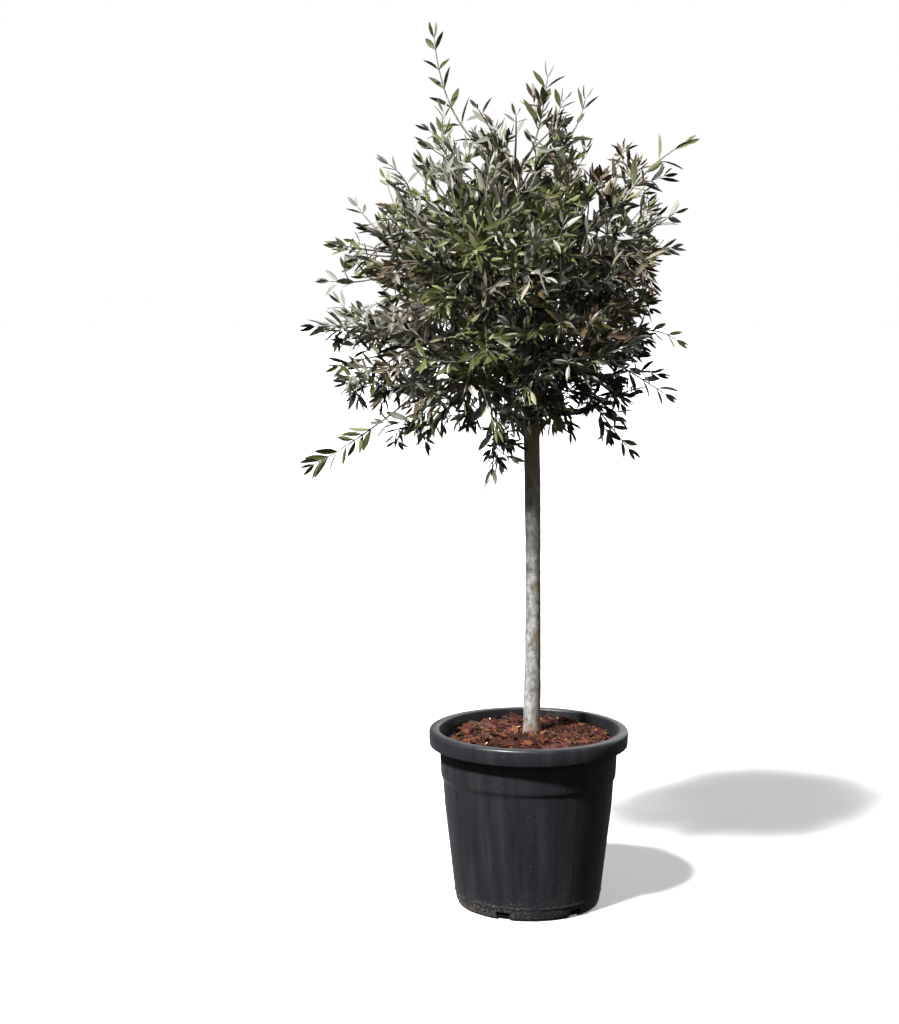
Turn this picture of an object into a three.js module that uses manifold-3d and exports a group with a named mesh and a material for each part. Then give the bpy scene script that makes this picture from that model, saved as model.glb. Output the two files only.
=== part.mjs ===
// Potted olive tree: a young olive on a clear stem with a round head, standing in a round nursery pot.
// Millimetres, +Z up. The origin is the centre of the pot's flat underside.
// Seen from the front, X runs to the right and Y runs away from the viewer.
import * as THREE from "three";
import { mergeVertices } from "three/addons/utils/BufferGeometryUtils.js";
import Module from "manifold-3d";

const wasm = await Module();
wasm.setup();

// Driving dimensions of the pot, a 300 mm nursery pot
const POT_HEIGHT = 267;
const RIM_RADIUS = 150;
const RIM_SKIRT = 24; // how far the turned-down rim hangs
const RIM_TOP_WIDTH = 15;
const POT_WALL = 2.2;
const COLLAR_TOP_RADIUS = 134.5;
const COLLAR_FOOT_RADIUS = 132;
const COLLAR_FOOT_Z = 197;
const BODY_TOP_RADIUS = 129;
const BODY_TOP_Z = 193;
const BODY_FOOT_RADIUS = 110;
const BODY_FOOT_Z = 19;
const FOOT_RADIUS = 105.5;
const FLOOR_THICKNESS = 5;
const POT_SEGMENTS = 28;
const DRAIN_SLOTS = 6;
const DRAIN_SLOT_WIDTH = 21;
const DRAIN_SLOT_HEIGHT = 12.5;
const DRAIN_SLOT_INNER = 98;
const DRAIN_SLOT_FIRST = 8; // degrees round from +X

// What fills the pot
const GAP = 0.3; // clearance between neighbouring solids
const SOIL_TOP_Z = 240;
const MULCH_EDGE_Z = 251;
const MULCH_MIDDLE_Z = 262;
const MULCH_ROUGHNESS = 1.6;
const MULCH_SEGMENTS = 20;

// Driving dimensions of the trunk: height, sideways place and radius at each station
const TRUNK_STATIONS = [
  { z: SOIL_TOP_Z + GAP, x: 5.0, radius: 18.0 },
  { z: 252, x: 5.0, radius: 14.8 },
  { z: 270, x: 5.0, radius: 12.6 },
  { z: 310, x: 5.4, radius: 11.7 },
  { z: 436, x: 6.2, radius: 10.5 },
  { z: 560, x: 5.4, radius: 10.6 },
  { z: 660, x: 3.8, radius: 11.1 },
  { z: 722, x: 2.6, radius: 11.4 },
  { z: 775, x: 1.6, radius: 9.8 },
  { z: 822, x: 1.0, radius: 7.0 },
];
const TRUNK_SIDES = 12;

// The head: a ball of foliage about HEAD, shared out among masses that fan out from HUB
const HEAD = new THREE.Vector3(-30, 0, 940);
const HUB = new THREE.Vector3(-26, 0, 884);
const SHOOT_REACH = 236; // the shortest shoots end this far from HEAD
const SHOOT_SPREAD = 58; // and the longest ordinary ones this much further
const MASS_TIERS = [
  { name: "lower", count: 6, elevation: -20, first: 0, coreOut: 92, coreZ: 860, core: 62 },
  { name: "upper", count: 5, elevation: 30, first: 36, coreOut: 98, coreZ: 962, core: 64 },
  { name: "top", count: 1, elevation: 90, first: 0, coreOut: 0, coreZ: 1050, core: 64 },
];

// Boughs of each tier: where they leave the trunk, and where they end, at the foot of a mass
const BOUGH_TIERS = {
  lower: { rootZ: 722, rise: 5.5, tipOut: 66, tipZ: 796, root: 5.2, tip: 3.6 },
  upper: { rootZ: 762, rise: 6.5, tipOut: 44, tipZ: 914, root: 4.8, tip: 3.4 },
  top: { rootZ: 822.3, rise: 0, tipOut: 0, tipZ: 982, root: 6.4, tip: 3.8 },
};
const BOUGH_SIDES = 6;
const BOUGH_RINGS = 4;

// Shoots that stand out of the head: the angle in the front view and the reach from HEAD of the tip,
// and of the bend where the shoot leaves the head, and how far the tip leans away from the viewer
const LONG_SHOOTS = [
  { name: "leader", angle: 107, reach: 390, bend: [116, 221], depth: 12 },
  { name: "second leader", angle: 80, reach: 318, bend: [77, 163], depth: -20 },
  { name: "third leader", angle: 68, reach: 310, bend: [62, 200], depth: 48 },
  { name: "right crest", angle: 37, reach: 338, bend: [42, 220], depth: -46 },
  { name: "right shoulder", angle: 10, reach: 268, bend: [14, 180], depth: 30 },
  { name: "right arm", angle: -21, reach: 284, bend: [-16, 190], depth: -18 },
  { name: "right hem", angle: -36, reach: 312, bend: [-38, 199], depth: 14 },
  { name: "right sweep", angle: -54.5, reach: 328, bend: [-57, 220], depth: -30 },
  { name: "hanging shoot", angle: -96, reach: 316, bend: [-94, 215], depth: -46 },
  { name: "left sweep", angle: -137.5, reach: 421, bend: [-130, 275], depth: -24 },
  { name: "left hem", angle: -154, reach: 309, bend: [-149, 200], depth: 26 },
  { name: "left arm", angle: -167, reach: 318, bend: [-162, 200], depth: -40 },
  { name: "left reach", angle: 180, reach: 292, bend: [-176, 190], depth: 18 },
  { name: "left shoulder", angle: 169, reach: 280, bend: [172, 190], depth: -22 },
  { name: "left crown", angle: 138, reach: 266, bend: [134, 180], depth: -34 },
  { name: "viewer's shoot", angle: -112, reach: 120, bend: [-110, 90], depth: -262 },
];
const LATTICE_SHOOTS = 112; // ordinary shoots, spread evenly over the whole ball
const LOWEST_ELEVATION = -76; // none of them aims lower than this
const LONG_SHOOT_ROOM = 13; // degrees kept clear of ordinary shoots round each long one

// Each mass is dense inside: a lumpy core, fused in it, that the shoots stand out of
const CORE_LUMPS = 0.24; // its bumps, as a share of its radius

// Twigs and leaves. The leaves are larger than life, because they stand for several each.
const STEM_REACH = 0.9; // how far past the core's middle a mass's stem runs, in core radii
const STEM_ROOT = 4.2;
const STEM_TIP = 2.8;
const SHOOT_ROOT = 2.8;
const SHOOT_TIP = 2.0;
const DEPARTURE = 0.84; // how far back along its stem a shoot starts, per unit of its distance from it
const TWIG_SIDES = 3;
const TWIG_RINGS = 2;
const LEAF_LENGTH = 56;
const LEAF_WIDTH = 15;
const LEAF_THICKNESS = 1.8;
const LEAF_PITCH = 36; // between pairs of leaves
const LEAF_STAGGER = 4; // one leaf of a pair sits this much further along
const LEAF_SINK = 0.6; // how far past its twig's middle line a leaf's root reaches
const LEAF_ANGLE = 46; // degrees from the shoot, at its foot
const LEAF_CLOSING = 18; // degrees by which the pairs close towards the tip
const LEAF_ROLL = 70; // degrees to either side that a blade may turn about its own length
const BARE_FOOT = 34; // a shoot has no leaves this close to its stem
const LEAF_ROOM = 3.4; // between the middle line of a leaf and any other leaf or twig
const LIMB_ROOM = 1.2;

const SEED = 7;
const MERGE = 1e-3; // vertices closer than this are one

// Solids from three.js geometry and back

function toSolid(geometry) {
  const bare = geometry.clone();
  bare.deleteAttribute("normal");
  bare.deleteAttribute("uv");
  const merged = mergeVertices(bare, MERGE);
  return new wasm.Manifold(
    new wasm.Mesh({
      numProp: 3,
      vertProperties: new Float32Array(merged.attributes.position.array),
      triVerts: new Uint32Array(merged.index.array),
    }),
  );
}

function toGeometry(solid) {
  const mesh = solid.getMesh();
  const geometry = new THREE.BufferGeometry();
  geometry.setAttribute("position", new THREE.BufferAttribute(mesh.vertProperties, 3));
  geometry.setIndex(new THREE.BufferAttribute(mesh.triVerts, 1));
  geometry.computeVertexNormals();
  return geometry;
}

// Loose scraps that a cut leaves behind are dropped.
function largestBody(solid) {
  const bodies = toSolid(toGeometry(solid)).decompose();
  return bodies.reduce((a, b) => (b.volume() > a.volume() ? b : a));
}

// A repeatable row of numbers from 0 to 1
function seeded(seed) {
  let state = Math.imul(seed, 2654435761) >>> 0;
  return () => {
    state = (Math.imul(state, 1664525) + 1013904223) >>> 0;
    return state / 2 ** 32;
  };
}

function direction(azimuth, elevation) {
  const a = THREE.MathUtils.degToRad(azimuth);
  const e = THREE.MathUtils.degToRad(elevation);
  return new THREE.Vector3(Math.cos(a) * Math.cos(e), Math.sin(a) * Math.cos(e), Math.sin(e));
}

// A limb is a cylinder whose rings are laid along a curve, with the radius that radiusAt gives.
function limb(curve, radiusAt, sides, rings) {
  const geometry = new THREE.CylinderGeometry(1, 1, 1, sides, rings);
  const place = geometry.attributes.position;
  const frames = curve.computeFrenetFrames(rings, false);
  for (let i = 0; i < place.count; i++) {
    const ring = Math.round((place.getY(i) + 0.5) * rings);
    const radius = radiusAt(ring / rings);
    const across = new THREE.Vector3().crossVectors(frames.normals[ring], frames.tangents[ring]);
    const point = curve
      .getPointAt(ring / rings)
      .addScaledVector(frames.normals[ring], place.getX(i) * radius)
      .addScaledVector(across, place.getZ(i) * radius);
    place.setXYZ(i, point.x, point.y, point.z);
  }
  return toSolid(geometry);
}

function lathe(profile, segments) {
  const points = profile.map(([radius, z]) => new THREE.Vector2(radius, z));
  return new THREE.LatheGeometry(points, segments).rotateX(Math.PI / 2);
}

// The pot

function potSolid() {
  const lipInner = RIM_RADIUS - RIM_TOP_WIDTH;
  const skirtZ = POT_HEIGHT - RIM_SKIRT;
  const profile = [
    [0, 0],
    [FOOT_RADIUS, 0],
    [FOOT_RADIUS + 3, 4],
    [BODY_FOOT_RADIUS, BODY_FOOT_Z],
    [BODY_TOP_RADIUS, BODY_TOP_Z],
    [COLLAR_FOOT_RADIUS, COLLAR_FOOT_Z],
    [COLLAR_TOP_RADIUS, POT_HEIGHT - 5],
    [RIM_RADIUS - POT_WALL, POT_HEIGHT - 5],
    [RIM_RADIUS - POT_WALL, skirtZ],
    [RIM_RADIUS - 0.6, skirtZ],
    [RIM_RADIUS, POT_HEIGHT - 5],
    [RIM_RADIUS - 4, POT_HEIGHT],
    [lipInner + 1, POT_HEIGHT],
    [COLLAR_FOOT_RADIUS - POT_WALL, COLLAR_FOOT_Z],
    [BODY_TOP_RADIUS - POT_WALL, BODY_TOP_Z],
    [BODY_FOOT_RADIUS - POT_WALL, BODY_FOOT_Z],
    [BODY_FOOT_RADIUS - POT_WALL - 1, FLOOR_THICKNESS],
    [0, FLOOR_THICKNESS],
  ];
  let pot = toSolid(lathe(profile, POT_SEGMENTS));
  const slotLength = RIM_RADIUS - DRAIN_SLOT_INNER;
  for (let i = 0; i < DRAIN_SLOTS; i++) {
    const turn = THREE.MathUtils.degToRad(DRAIN_SLOT_FIRST + (360 / DRAIN_SLOTS) * i);
    const slot = new THREE.BoxGeometry(slotLength, DRAIN_SLOT_WIDTH, 2 * DRAIN_SLOT_HEIGHT)
      .translate(DRAIN_SLOT_INNER + slotLength / 2, 0, 0)
      .rotateZ(turn);
    pot = pot.subtract(toSolid(slot));
  }
  return pot;
}

// Inner radius of the pot's wall at a height
function potInside(z) {
  const share = THREE.MathUtils.clamp((z - BODY_FOOT_Z) / (BODY_TOP_Z - BODY_FOOT_Z), 0, 1);
  return THREE.MathUtils.lerp(BODY_FOOT_RADIUS, BODY_TOP_RADIUS, share) - POT_WALL;
}

function soilSolid() {
  const profile = [
    [0, FLOOR_THICKNESS + GAP],
    [potInside(0) - 2, FLOOR_THICKNESS + GAP],
    [potInside(BODY_TOP_Z) - GAP * 2, BODY_TOP_Z + 1],
    [COLLAR_FOOT_RADIUS - POT_WALL - GAP * 2, COLLAR_FOOT_Z + 1],
    [COLLAR_FOOT_RADIUS - POT_WALL - GAP * 2, SOIL_TOP_Z],
    [0, SOIL_TOP_Z],
  ];
  return toSolid(lathe(profile, POT_SEGMENTS));
}

// The mulch is a rough, slightly heaped layer of bark with a hole where the trunk stands.
function mulchSolid(trunkCutter) {
  const edge = COLLAR_FOOT_RADIUS - POT_WALL - GAP * 2;
  const shares = [1, 0.83, 0.64, 0.45, 0.26];
  const top = shares.map((s) => [
    edge * s,
    THREE.MathUtils.lerp(MULCH_MIDDLE_Z, MULCH_EDGE_Z, s * s),
  ]);
  const base = SOIL_TOP_Z + GAP;
  const geometry = lathe([[0, base], [edge, base], ...top, [0, MULCH_MIDDLE_Z]], MULCH_SEGMENTS);
  const solidGeometry = mergeVertices(geometry.deleteAttribute("normal").deleteAttribute("uv"), MERGE);
  const place = solidGeometry.attributes.position;
  const random = seeded(SEED);
  for (let i = 0; i < place.count; i++) {
    if (place.getZ(i) > base + 1) {
      place.setZ(i, place.getZ(i) + (random() - 0.5) * 2 * MULCH_ROUGHNESS);
    }
  }
  return largestBody(toSolid(solidGeometry).subtract(trunkCutter));
}

// The trunk and its boughs

// Rings stand at the stations, so the flare keeps its shape. Extra is added to every radius.
function trunkSolid(extra) {
  const rings = TRUNK_STATIONS.length - 1;
  const geometry = new THREE.CylinderGeometry(1, 1, 1, TRUNK_SIDES, rings);
  const place = geometry.attributes.position;
  for (let i = 0; i < place.count; i++) {
    const station = TRUNK_STATIONS[Math.round((place.getY(i) + 0.5) * rings)];
    const radius = station.radius + extra;
    place.setXYZ(i, station.x + place.getX(i) * radius, -place.getZ(i) * radius, station.z);
  }
  return toSolid(geometry);
}

function makeMasses() {
  const masses = [];
  for (const tier of MASS_TIERS) {
    for (let i = 0; i < tier.count; i++) {
      const azimuth = tier.first + (360 / tier.count) * i;
      const suffix = tier.count > 1 ? "_" + (i + 1) : "";
      masses.push({
        name: tier.name + suffix,
        tier: tier.name,
        index: i,
        azimuth,
        home: direction(azimuth, tier.elevation),
        coreRadius: tier.core,
        core: HUB.clone().setZ(tier.coreZ).addScaledVector(direction(azimuth, 0), tier.coreOut),
      });
    }
  }
  return masses;
}

// Each bough leaves the trunk fairly flat and turns up towards its mass.
function boughCurve(mass) {
  const tier = BOUGH_TIERS[mass.tier];
  const outward = direction(mass.azimuth, 0);
  const root = new THREE.Vector3(
    TRUNK_STATIONS.at(-1).x,
    0,
    tier.rootZ + tier.rise * ((mass.index * 2) % 5),
  );
  const tip = HUB.clone().addScaledVector(outward, tier.tipOut).setZ(tier.tipZ);
  const bend = root.clone().lerp(tip, 0.6).setZ(THREE.MathUtils.lerp(root.z, tip.z, 0.36));
  return new THREE.QuadraticBezierCurve3(root, bend, tip);
}

// Extra is added to the bough's radius and beyond its tip.
function wholeBough(mass, extra) {
  const tier = BOUGH_TIERS[mass.tier];
  const curve = mass.bough.clone();
  curve.v2.addScaledVector(curve.getTangent(1), extra);
  const radiusAt = (t) => THREE.MathUtils.lerp(tier.root, tier.tip, t) + extra;
  return limb(curve, radiusAt, BOUGH_SIDES, BOUGH_RINGS);
}

// The shoots of the head

function inFrontView(angle, reach, depth) {
  const a = THREE.MathUtils.degToRad(angle);
  return HEAD.clone().add(new THREE.Vector3(Math.cos(a) * reach, depth, Math.sin(a) * reach));
}

function longShoots() {
  return LONG_SHOOTS.map(({ angle, reach, bend, depth }) => ({
    tip: inFrontView(angle, reach, depth),
    bend: inFrontView(...bend, (depth * bend[1]) / reach),
  }));
}

// Ordinary shoots aim along an even lattice of directions, and their reach varies by the seed.
function latticeShoots(longOnes) {
  const random = seeded(SEED + 1);
  const goldenAngle = 180 * (3 - Math.sqrt(5));
  const shoots = [];
  for (let k = 0; k < LATTICE_SHOOTS; k++) {
    const elevation = THREE.MathUtils.radToDeg(Math.asin(1 - (2 * (k + 0.5)) / LATTICE_SHOOTS));
    const aim = direction(k * goldenAngle + (random() - 0.5) * 10, elevation);
    const reach = SHOOT_REACH + SHOOT_SPREAD * random() ** 1.4;
    const crowded = longOnes.some(({ tip }) => {
      const angle = THREE.MathUtils.radToDeg(tip.clone().sub(HEAD).angleTo(aim));
      return angle < LONG_SHOOT_ROOM;
    });
    if (elevation > LOWEST_ELEVATION && !crowded) {
      shoots.push({ tip: HEAD.clone().addScaledVector(aim, reach) });
    }
  }
  return shoots;
}

function massOf(point, masses) {
  const aim = point.clone().sub(HUB).normalize();
  return masses.reduce((a, b) => (b.home.dot(aim) > a.home.dot(aim) ? b : a));
}

// True if a point is in its mass's own share of the head, a cone of directions from HUB
function isAtHome(point, mass, masses) {
  const offset = point.clone().sub(HUB);
  return masses.every((other) => {
    if (other === mass) return true;
    const towards = mass.home.clone().sub(other.home).normalize();
    return offset.dot(towards) > GAP;
  });
}

function segmentDistance(a, b, c, d) {
  const ab = b.clone().sub(a);
  const cd = d.clone().sub(c);
  const ca = a.clone().sub(c);
  const aa = ab.dot(ab);
  const cc = cd.dot(cd);
  const ac = ab.dot(cd);
  const f = cd.dot(ca);
  const e = ab.dot(ca);
  const spread = aa * cc - ac * ac;
  let s = spread > 1e-9 ? THREE.MathUtils.clamp((ac * f - e * cc) / spread, 0, 1) : 0;
  let t = (ac * s + f) / cc;
  if (t < 0 || t > 1) {
    t = THREE.MathUtils.clamp(t, 0, 1);
    s = THREE.MathUtils.clamp((ac * t - e) / aa, 0, 1);
  }
  return a.clone().addScaledVector(ab, s).distanceTo(c.clone().addScaledVector(cd, t));
}

// Straight pieces of every limb, for keeping twigs and leaves off the wood
function limbPieces(masses) {
  const pieces = [];
  for (let i = 0; i + 1 < TRUNK_STATIONS.length; i++) {
    const [low, high] = [TRUNK_STATIONS[i], TRUNK_STATIONS[i + 1]];
    pieces.push({
      from: new THREE.Vector3(low.x, 0, low.z),
      to: new THREE.Vector3(high.x, 0, high.z),
      radius: Math.max(low.radius, high.radius),
    });
  }
  for (const mass of masses) {
    const points = mass.bough.getPoints(BOUGH_RINGS * 2);
    for (let i = 0; i + 1 < points.length; i++) {
      pieces.push({ from: points[i], to: points[i + 1], radius: BOUGH_TIERS[mass.tier].root });
    }
  }
  return pieces;
}

// The stem goes on from the tip of its bough and bends outwards through the middle of the core.
function stemCurve(mass) {
  const along = mass.bough.getTangent(1);
  const root = mass.bough.getPoint(1).addScaledVector(along, GAP);
  const outward = mass.core.clone().sub(HEAD).normalize();
  const end = mass.core.clone().addScaledVector(outward, mass.coreRadius * STEM_REACH);
  const straight = mass.core.clone().sub(root).dot(along);
  const bend = root.clone().addScaledVector(along, straight);
  return new THREE.QuadraticBezierCurve3(root, bend, end);
}

// A shoot leaves its stem some way back from its tip, first along the stem and then out to its tip.
// A long shoot goes by way of its own bend.
function shootCurve(mass, { tip, bend }, random) {
  const chord = mass.stem.v2.clone().sub(mass.stem.v0);
  const length = chord.length();
  const toTip = tip.clone().sub(mass.stem.v0);
  const along = toTip.dot(chord) / length;
  const aside = Math.sqrt(Math.max(0, toTip.lengthSq() - along * along));
  const start = (along - DEPARTURE * aside) / length + (random() - 0.5) * 0.12;
  const u = THREE.MathUtils.clamp(start, 0.2 + 0.25 * random(), 0.97);
  const root = mass.stem.getPoint(u);
  const line = tip.clone().sub(root);
  const middle =
    bend ??
    root
      .clone()
      .addScaledVector(line, 0.3)
      .addScaledVector(mass.stem.getTangent(u), line.length() * 0.16);
  const last = tip.clone().sub(middle).setLength(0.9 * LEAF_LENGTH);
  return new THREE.QuadraticBezierCurve3(root, middle, tip.clone().sub(last));
}

// A leaf is a flat eight-faced blade whose root is sunk in its twig.
function leafAt(root, axis, facing) {
  const across = new THREE.Vector3().crossVectors(facing, axis).normalize();
  const sunk = root.clone().addScaledVector(axis, -LEAF_SINK);
  const middle = sunk.clone().addScaledVector(axis, LEAF_LENGTH / 2);
  return {
    from: root,
    to: sunk.clone().addScaledVector(axis, LEAF_LENGTH),
    corners: [
      sunk,
      sunk.clone().addScaledVector(axis, LEAF_LENGTH),
      middle.clone().addScaledVector(across, LEAF_WIDTH / 2),
      middle.clone().addScaledVector(across, -LEAF_WIDTH / 2),
    ],
    basis: new THREE.Matrix4().makeBasis(axis, across, facing).setPosition(middle),
  };
}

function leafSolid(leaf) {
  const blade = new THREE.OctahedronGeometry(1).scale(
    LEAF_LENGTH / 2,
    LEAF_WIDTH / 2,
    LEAF_THICKNESS / 2,
  );
  return toSolid(blade.applyMatrix4(leaf.basis));
}

// Leaves stand in pairs, each pair turned a quarter from the last, and one closes the tip.
function leavesOn(curve, bareFoot, random) {
  const leaves = [];
  const length = curve.getLength();
  const pairs = Math.max(1, Math.round((length - bareFoot) / LEAF_PITCH));
  const roll = random() * Math.PI;
  for (let k = 0; k < pairs; k++) {
    const u = 1 - ((k + 0.35) * LEAF_PITCH) / length;
    if (u * length < bareFoot * 0.8) continue;
    const tangent = curve.getTangentAt(u);
    const side = new THREE.Vector3(0.31, -0.42, 0.85).cross(tangent).normalize();
    side.applyAxisAngle(tangent, roll + (k * Math.PI) / 2);
    const angle = THREE.MathUtils.degToRad(LEAF_ANGLE - LEAF_CLOSING * u + (random() - 0.5) * 12);
    for (const way of [1, -1]) {
      const axis = tangent
        .clone()
        .multiplyScalar(Math.cos(angle))
        .addScaledVector(side, way * Math.sin(angle));
      const facing = tangent.clone().addScaledVector(axis, -tangent.dot(axis)).normalize();
      facing.applyAxisAngle(axis, THREE.MathUtils.degToRad(LEAF_ROLL * (2 * random() - 1)));
      const root = curve.getPointAt(u).addScaledVector(tangent, (way * LEAF_STAGGER) / 2);
      leaves.push(leafAt(root, axis, facing));
    }
  }
  const end = curve.getTangent(1);
  const facing = new THREE.Vector3(0.31, -0.42, 0.85).cross(end).normalize();
  leaves.push(leafAt(curve.getPoint(0.985), end, facing));
  return leaves;
}

function twigPieces(curve, radius, home) {
  const points = curve.getSpacedPoints(TWIG_RINGS * 2);
  const pieces = [];
  for (let i = 0; i + 1 < points.length; i++) {
    pieces.push({ from: points[i], to: points[i + 1], radius, home });
  }
  return pieces;
}

// The core is a lumpy ball about the stem, trimmed to its own share of the head and clear of the wood.
function coreSolid(mass, masses, woodCutter, random) {
  const ball = mergeVertices(
    new THREE.IcosahedronGeometry(mass.coreRadius, 1).deleteAttribute("normal").deleteAttribute("uv"),
    MERGE,
  );
  const place = ball.attributes.position;
  for (let i = 0; i < place.count; i++) {
    const swell = 1 + CORE_LUMPS * (random() * 2 - 1);
    const point = new THREE.Vector3().fromBufferAttribute(place, i).multiplyScalar(swell).add(mass.core);
    place.setXYZ(i, point.x, point.y, point.z);
  }
  let core = toSolid(ball);
  for (const other of masses) {
    if (other === mass) continue;
    const towards = mass.home.clone().sub(other.home).normalize();
    core = core.trimByPlane(towards.toArray(), HUB.dot(towards) + GAP);
  }
  return largestBody(core.subtract(woodCutter));
}

// Grows one mass: its stem, its shoots, and the leaves that have room. Fuses them into one solid.
function growMass(mass, masses, limbs, woodCutter) {
  const random = seeded(SEED * 100 + masses.indexOf(mass));
  const clearOfWood = (from, to, radius) =>
    limbs.every((l) => segmentDistance(from, to, l.from, l.to) > l.radius + radius + LIMB_ROOM);
  const hidden = (leaf) => leaf.to.distanceTo(mass.core) < mass.coreRadius * 1.3;
  const solids = [
    coreSolid(mass, masses, woodCutter, random),
    limb(mass.stem, (t) => THREE.MathUtils.lerp(STEM_ROOT, STEM_TIP, t), TWIG_SIDES, TWIG_RINGS + 1),
  ];
  const twigs = [{ curve: mass.stem, pieces: twigPieces(mass.stem, STEM_ROOT, mass.stem), foot: 60 }];
  for (const shoot of mass.shoots) {
    const curve = shootCurve(mass, shoot, random);
    const pieces = twigPieces(curve, SHOOT_ROOT, curve);
    const stays = pieces.every((p) => isAtHome(p.to, mass, masses));
    const clear = pieces.every((p) => clearOfWood(p.from, p.to, SHOOT_ROOT));
    if (!stays || !clear) continue;
    solids.push(
      limb(curve, (t) => THREE.MathUtils.lerp(SHOOT_ROOT, SHOOT_TIP, t), TWIG_SIDES, TWIG_RINGS),
    );
    twigs.push({ curve, pieces, foot: BARE_FOOT });
  }
  const wood = twigs.flatMap((t) => t.pieces);
  const kept = [];
  for (const twig of twigs) {
    for (const leaf of leavesOn(twig.curve, twig.foot, random)) {
      const home = leaf.corners.every((corner) => isAtHome(corner, mass, masses));
      const room =
        home &&
        !hidden(leaf) &&
        clearOfWood(leaf.from, leaf.to, LEAF_WIDTH / 2) &&
        wood.every(
          (w) =>
            w.home === twig.curve ||
            segmentDistance(leaf.from, leaf.to, w.from, w.to) > LEAF_ROOM,
        ) &&
        kept.every(
          (k) =>
            k.twig === twig || segmentDistance(leaf.from, leaf.to, k.leaf.from, k.leaf.to) > LEAF_ROOM,
        );
      if (room) kept.push({ leaf, twig });
    }
  }
  solids.push(...kept.map((k) => leafSolid(k.leaf)));
  return largestBody(wasm.Manifold.union(solids));
}

// Assembly

const plastic = new THREE.MeshStandardMaterial({ color: 0x2b2c30, roughness: 0.55 });
const compost = new THREE.MeshStandardMaterial({ color: 0x2a1d16, roughness: 0.95 });
const barkChips = new THREE.MeshStandardMaterial({ color: 0x6b3a2b, roughness: 0.9 });
const oliveBark = new THREE.MeshStandardMaterial({ color: 0x8d8a84, roughness: 0.85 });
const oliveLeaf = new THREE.MeshStandardMaterial({ color: 0x4a5340, roughness: 0.55 });

const tree = new THREE.Group();

function addNode(name, solid, material) {
  const mesh = new THREE.Mesh(toGeometry(solid), material);
  mesh.name = name;
  tree.add(mesh);
}

const trunkCutter = trunkSolid(GAP);
addNode("pot", potSolid(), plastic);
addNode("potting_soil", soilSolid(), compost);
addNode("bark_mulch", mulchSolid(trunkCutter), barkChips);
addNode("trunk", trunkSolid(0), oliveBark);

const masses = makeMasses();
for (const mass of masses) {
  mass.bough = boughCurve(mass);
  mass.stem = stemCurve(mass);
  mass.shoots = [];
}
const longOnes = longShoots();
for (const shoot of [...longOnes, ...latticeShoots(longOnes)]) {
  massOf(shoot.tip, masses).shoots.push(shoot);
}
const limbs = limbPieces(masses);
let woodCutter = trunkCutter;
for (const mass of masses) {
  addNode("bough_" + mass.name, largestBody(wholeBough(mass, 0).subtract(woodCutter)), oliveBark);
  woodCutter = woodCutter.add(wholeBough(mass, GAP));
}
for (const mass of masses) {
  addNode("foliage_" + mass.name, growMass(mass, masses, limbs, woodCutter), oliveLeaf);
}

export default tree;
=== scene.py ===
# %% [markdown]
# # A young olive tree in a nursery pot
# A young olive has been trained to one clear stem with a round head, and it still stands in the black plastic
# pot that it was grown in. The CAD model already has every size and place, so this lesson loads it and then
# dresses it: a pot with a rolled rim, a layer of bark chips, a trunk with bark, and a head of real leaves.
# All lengths are in metres once they reach Blender. X runs to the right, Y away from the camera and Z up.

# %% Load the CAD model
import math

import bpy
import numpy as np
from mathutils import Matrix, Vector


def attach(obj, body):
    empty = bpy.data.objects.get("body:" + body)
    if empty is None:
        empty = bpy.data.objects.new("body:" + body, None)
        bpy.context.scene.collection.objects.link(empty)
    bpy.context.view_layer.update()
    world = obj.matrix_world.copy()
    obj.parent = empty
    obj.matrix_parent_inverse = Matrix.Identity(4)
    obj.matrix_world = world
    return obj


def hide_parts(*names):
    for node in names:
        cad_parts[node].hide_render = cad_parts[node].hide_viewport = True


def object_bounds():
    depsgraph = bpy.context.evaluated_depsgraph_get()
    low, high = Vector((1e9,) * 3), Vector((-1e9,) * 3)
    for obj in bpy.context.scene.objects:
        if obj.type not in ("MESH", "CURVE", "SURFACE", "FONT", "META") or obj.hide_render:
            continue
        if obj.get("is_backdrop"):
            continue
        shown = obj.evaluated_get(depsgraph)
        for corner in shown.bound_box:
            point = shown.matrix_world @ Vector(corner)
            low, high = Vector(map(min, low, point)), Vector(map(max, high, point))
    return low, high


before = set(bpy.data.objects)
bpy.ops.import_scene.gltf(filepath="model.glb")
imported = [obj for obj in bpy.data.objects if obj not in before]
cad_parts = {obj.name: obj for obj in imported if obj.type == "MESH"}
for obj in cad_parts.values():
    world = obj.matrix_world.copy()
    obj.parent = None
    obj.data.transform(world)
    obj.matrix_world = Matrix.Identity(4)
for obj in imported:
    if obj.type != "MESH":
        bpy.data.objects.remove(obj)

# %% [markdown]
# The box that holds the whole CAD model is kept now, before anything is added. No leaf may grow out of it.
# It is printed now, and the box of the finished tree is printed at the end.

MM = 0.001
cad_low, cad_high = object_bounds()
print("CAD box in mm:", [round(v / MM) for v in (*cad_low, *cad_high)])

# %% [markdown]
# The camera comes first, because every later choice is judged through it. The photograph was taken from about
# waist height, a little left of the tree and nearly three metres away, looking slightly down. The ellipse of
# the pot's rim gives the height, and the width of the rim against its distance gives the lens.

# %% Camera
CAMERA_PLACE = (-0.1193, -2.816, 0.9105)
CAMERA_PITCH = 6.4  # degrees below level
LENS = 66.8  # millimetres, on a 36 mm sensor

bpy.ops.object.camera_add(location=CAMERA_PLACE, rotation=(math.radians(90 - CAMERA_PITCH), 0, 0))
camera = bpy.context.object
camera.data.lens = LENS
bpy.context.scene.camera = camera
print("camera at", CAMERA_PLACE, "with a", LENS, "mm lens")

# %% [markdown]
# Materials are graphs of nodes. One small function adds a node with its settings and its links, and another
# turns the hex colours that a paint chart or a photograph gives into the linear colours that Blender mixes.
# The others do what most finishes here need: a noise with its own tints, one tint laid over another where a
# measure lies in a range, and the end of a finish, which is its shader, its fine relief and the output.

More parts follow.
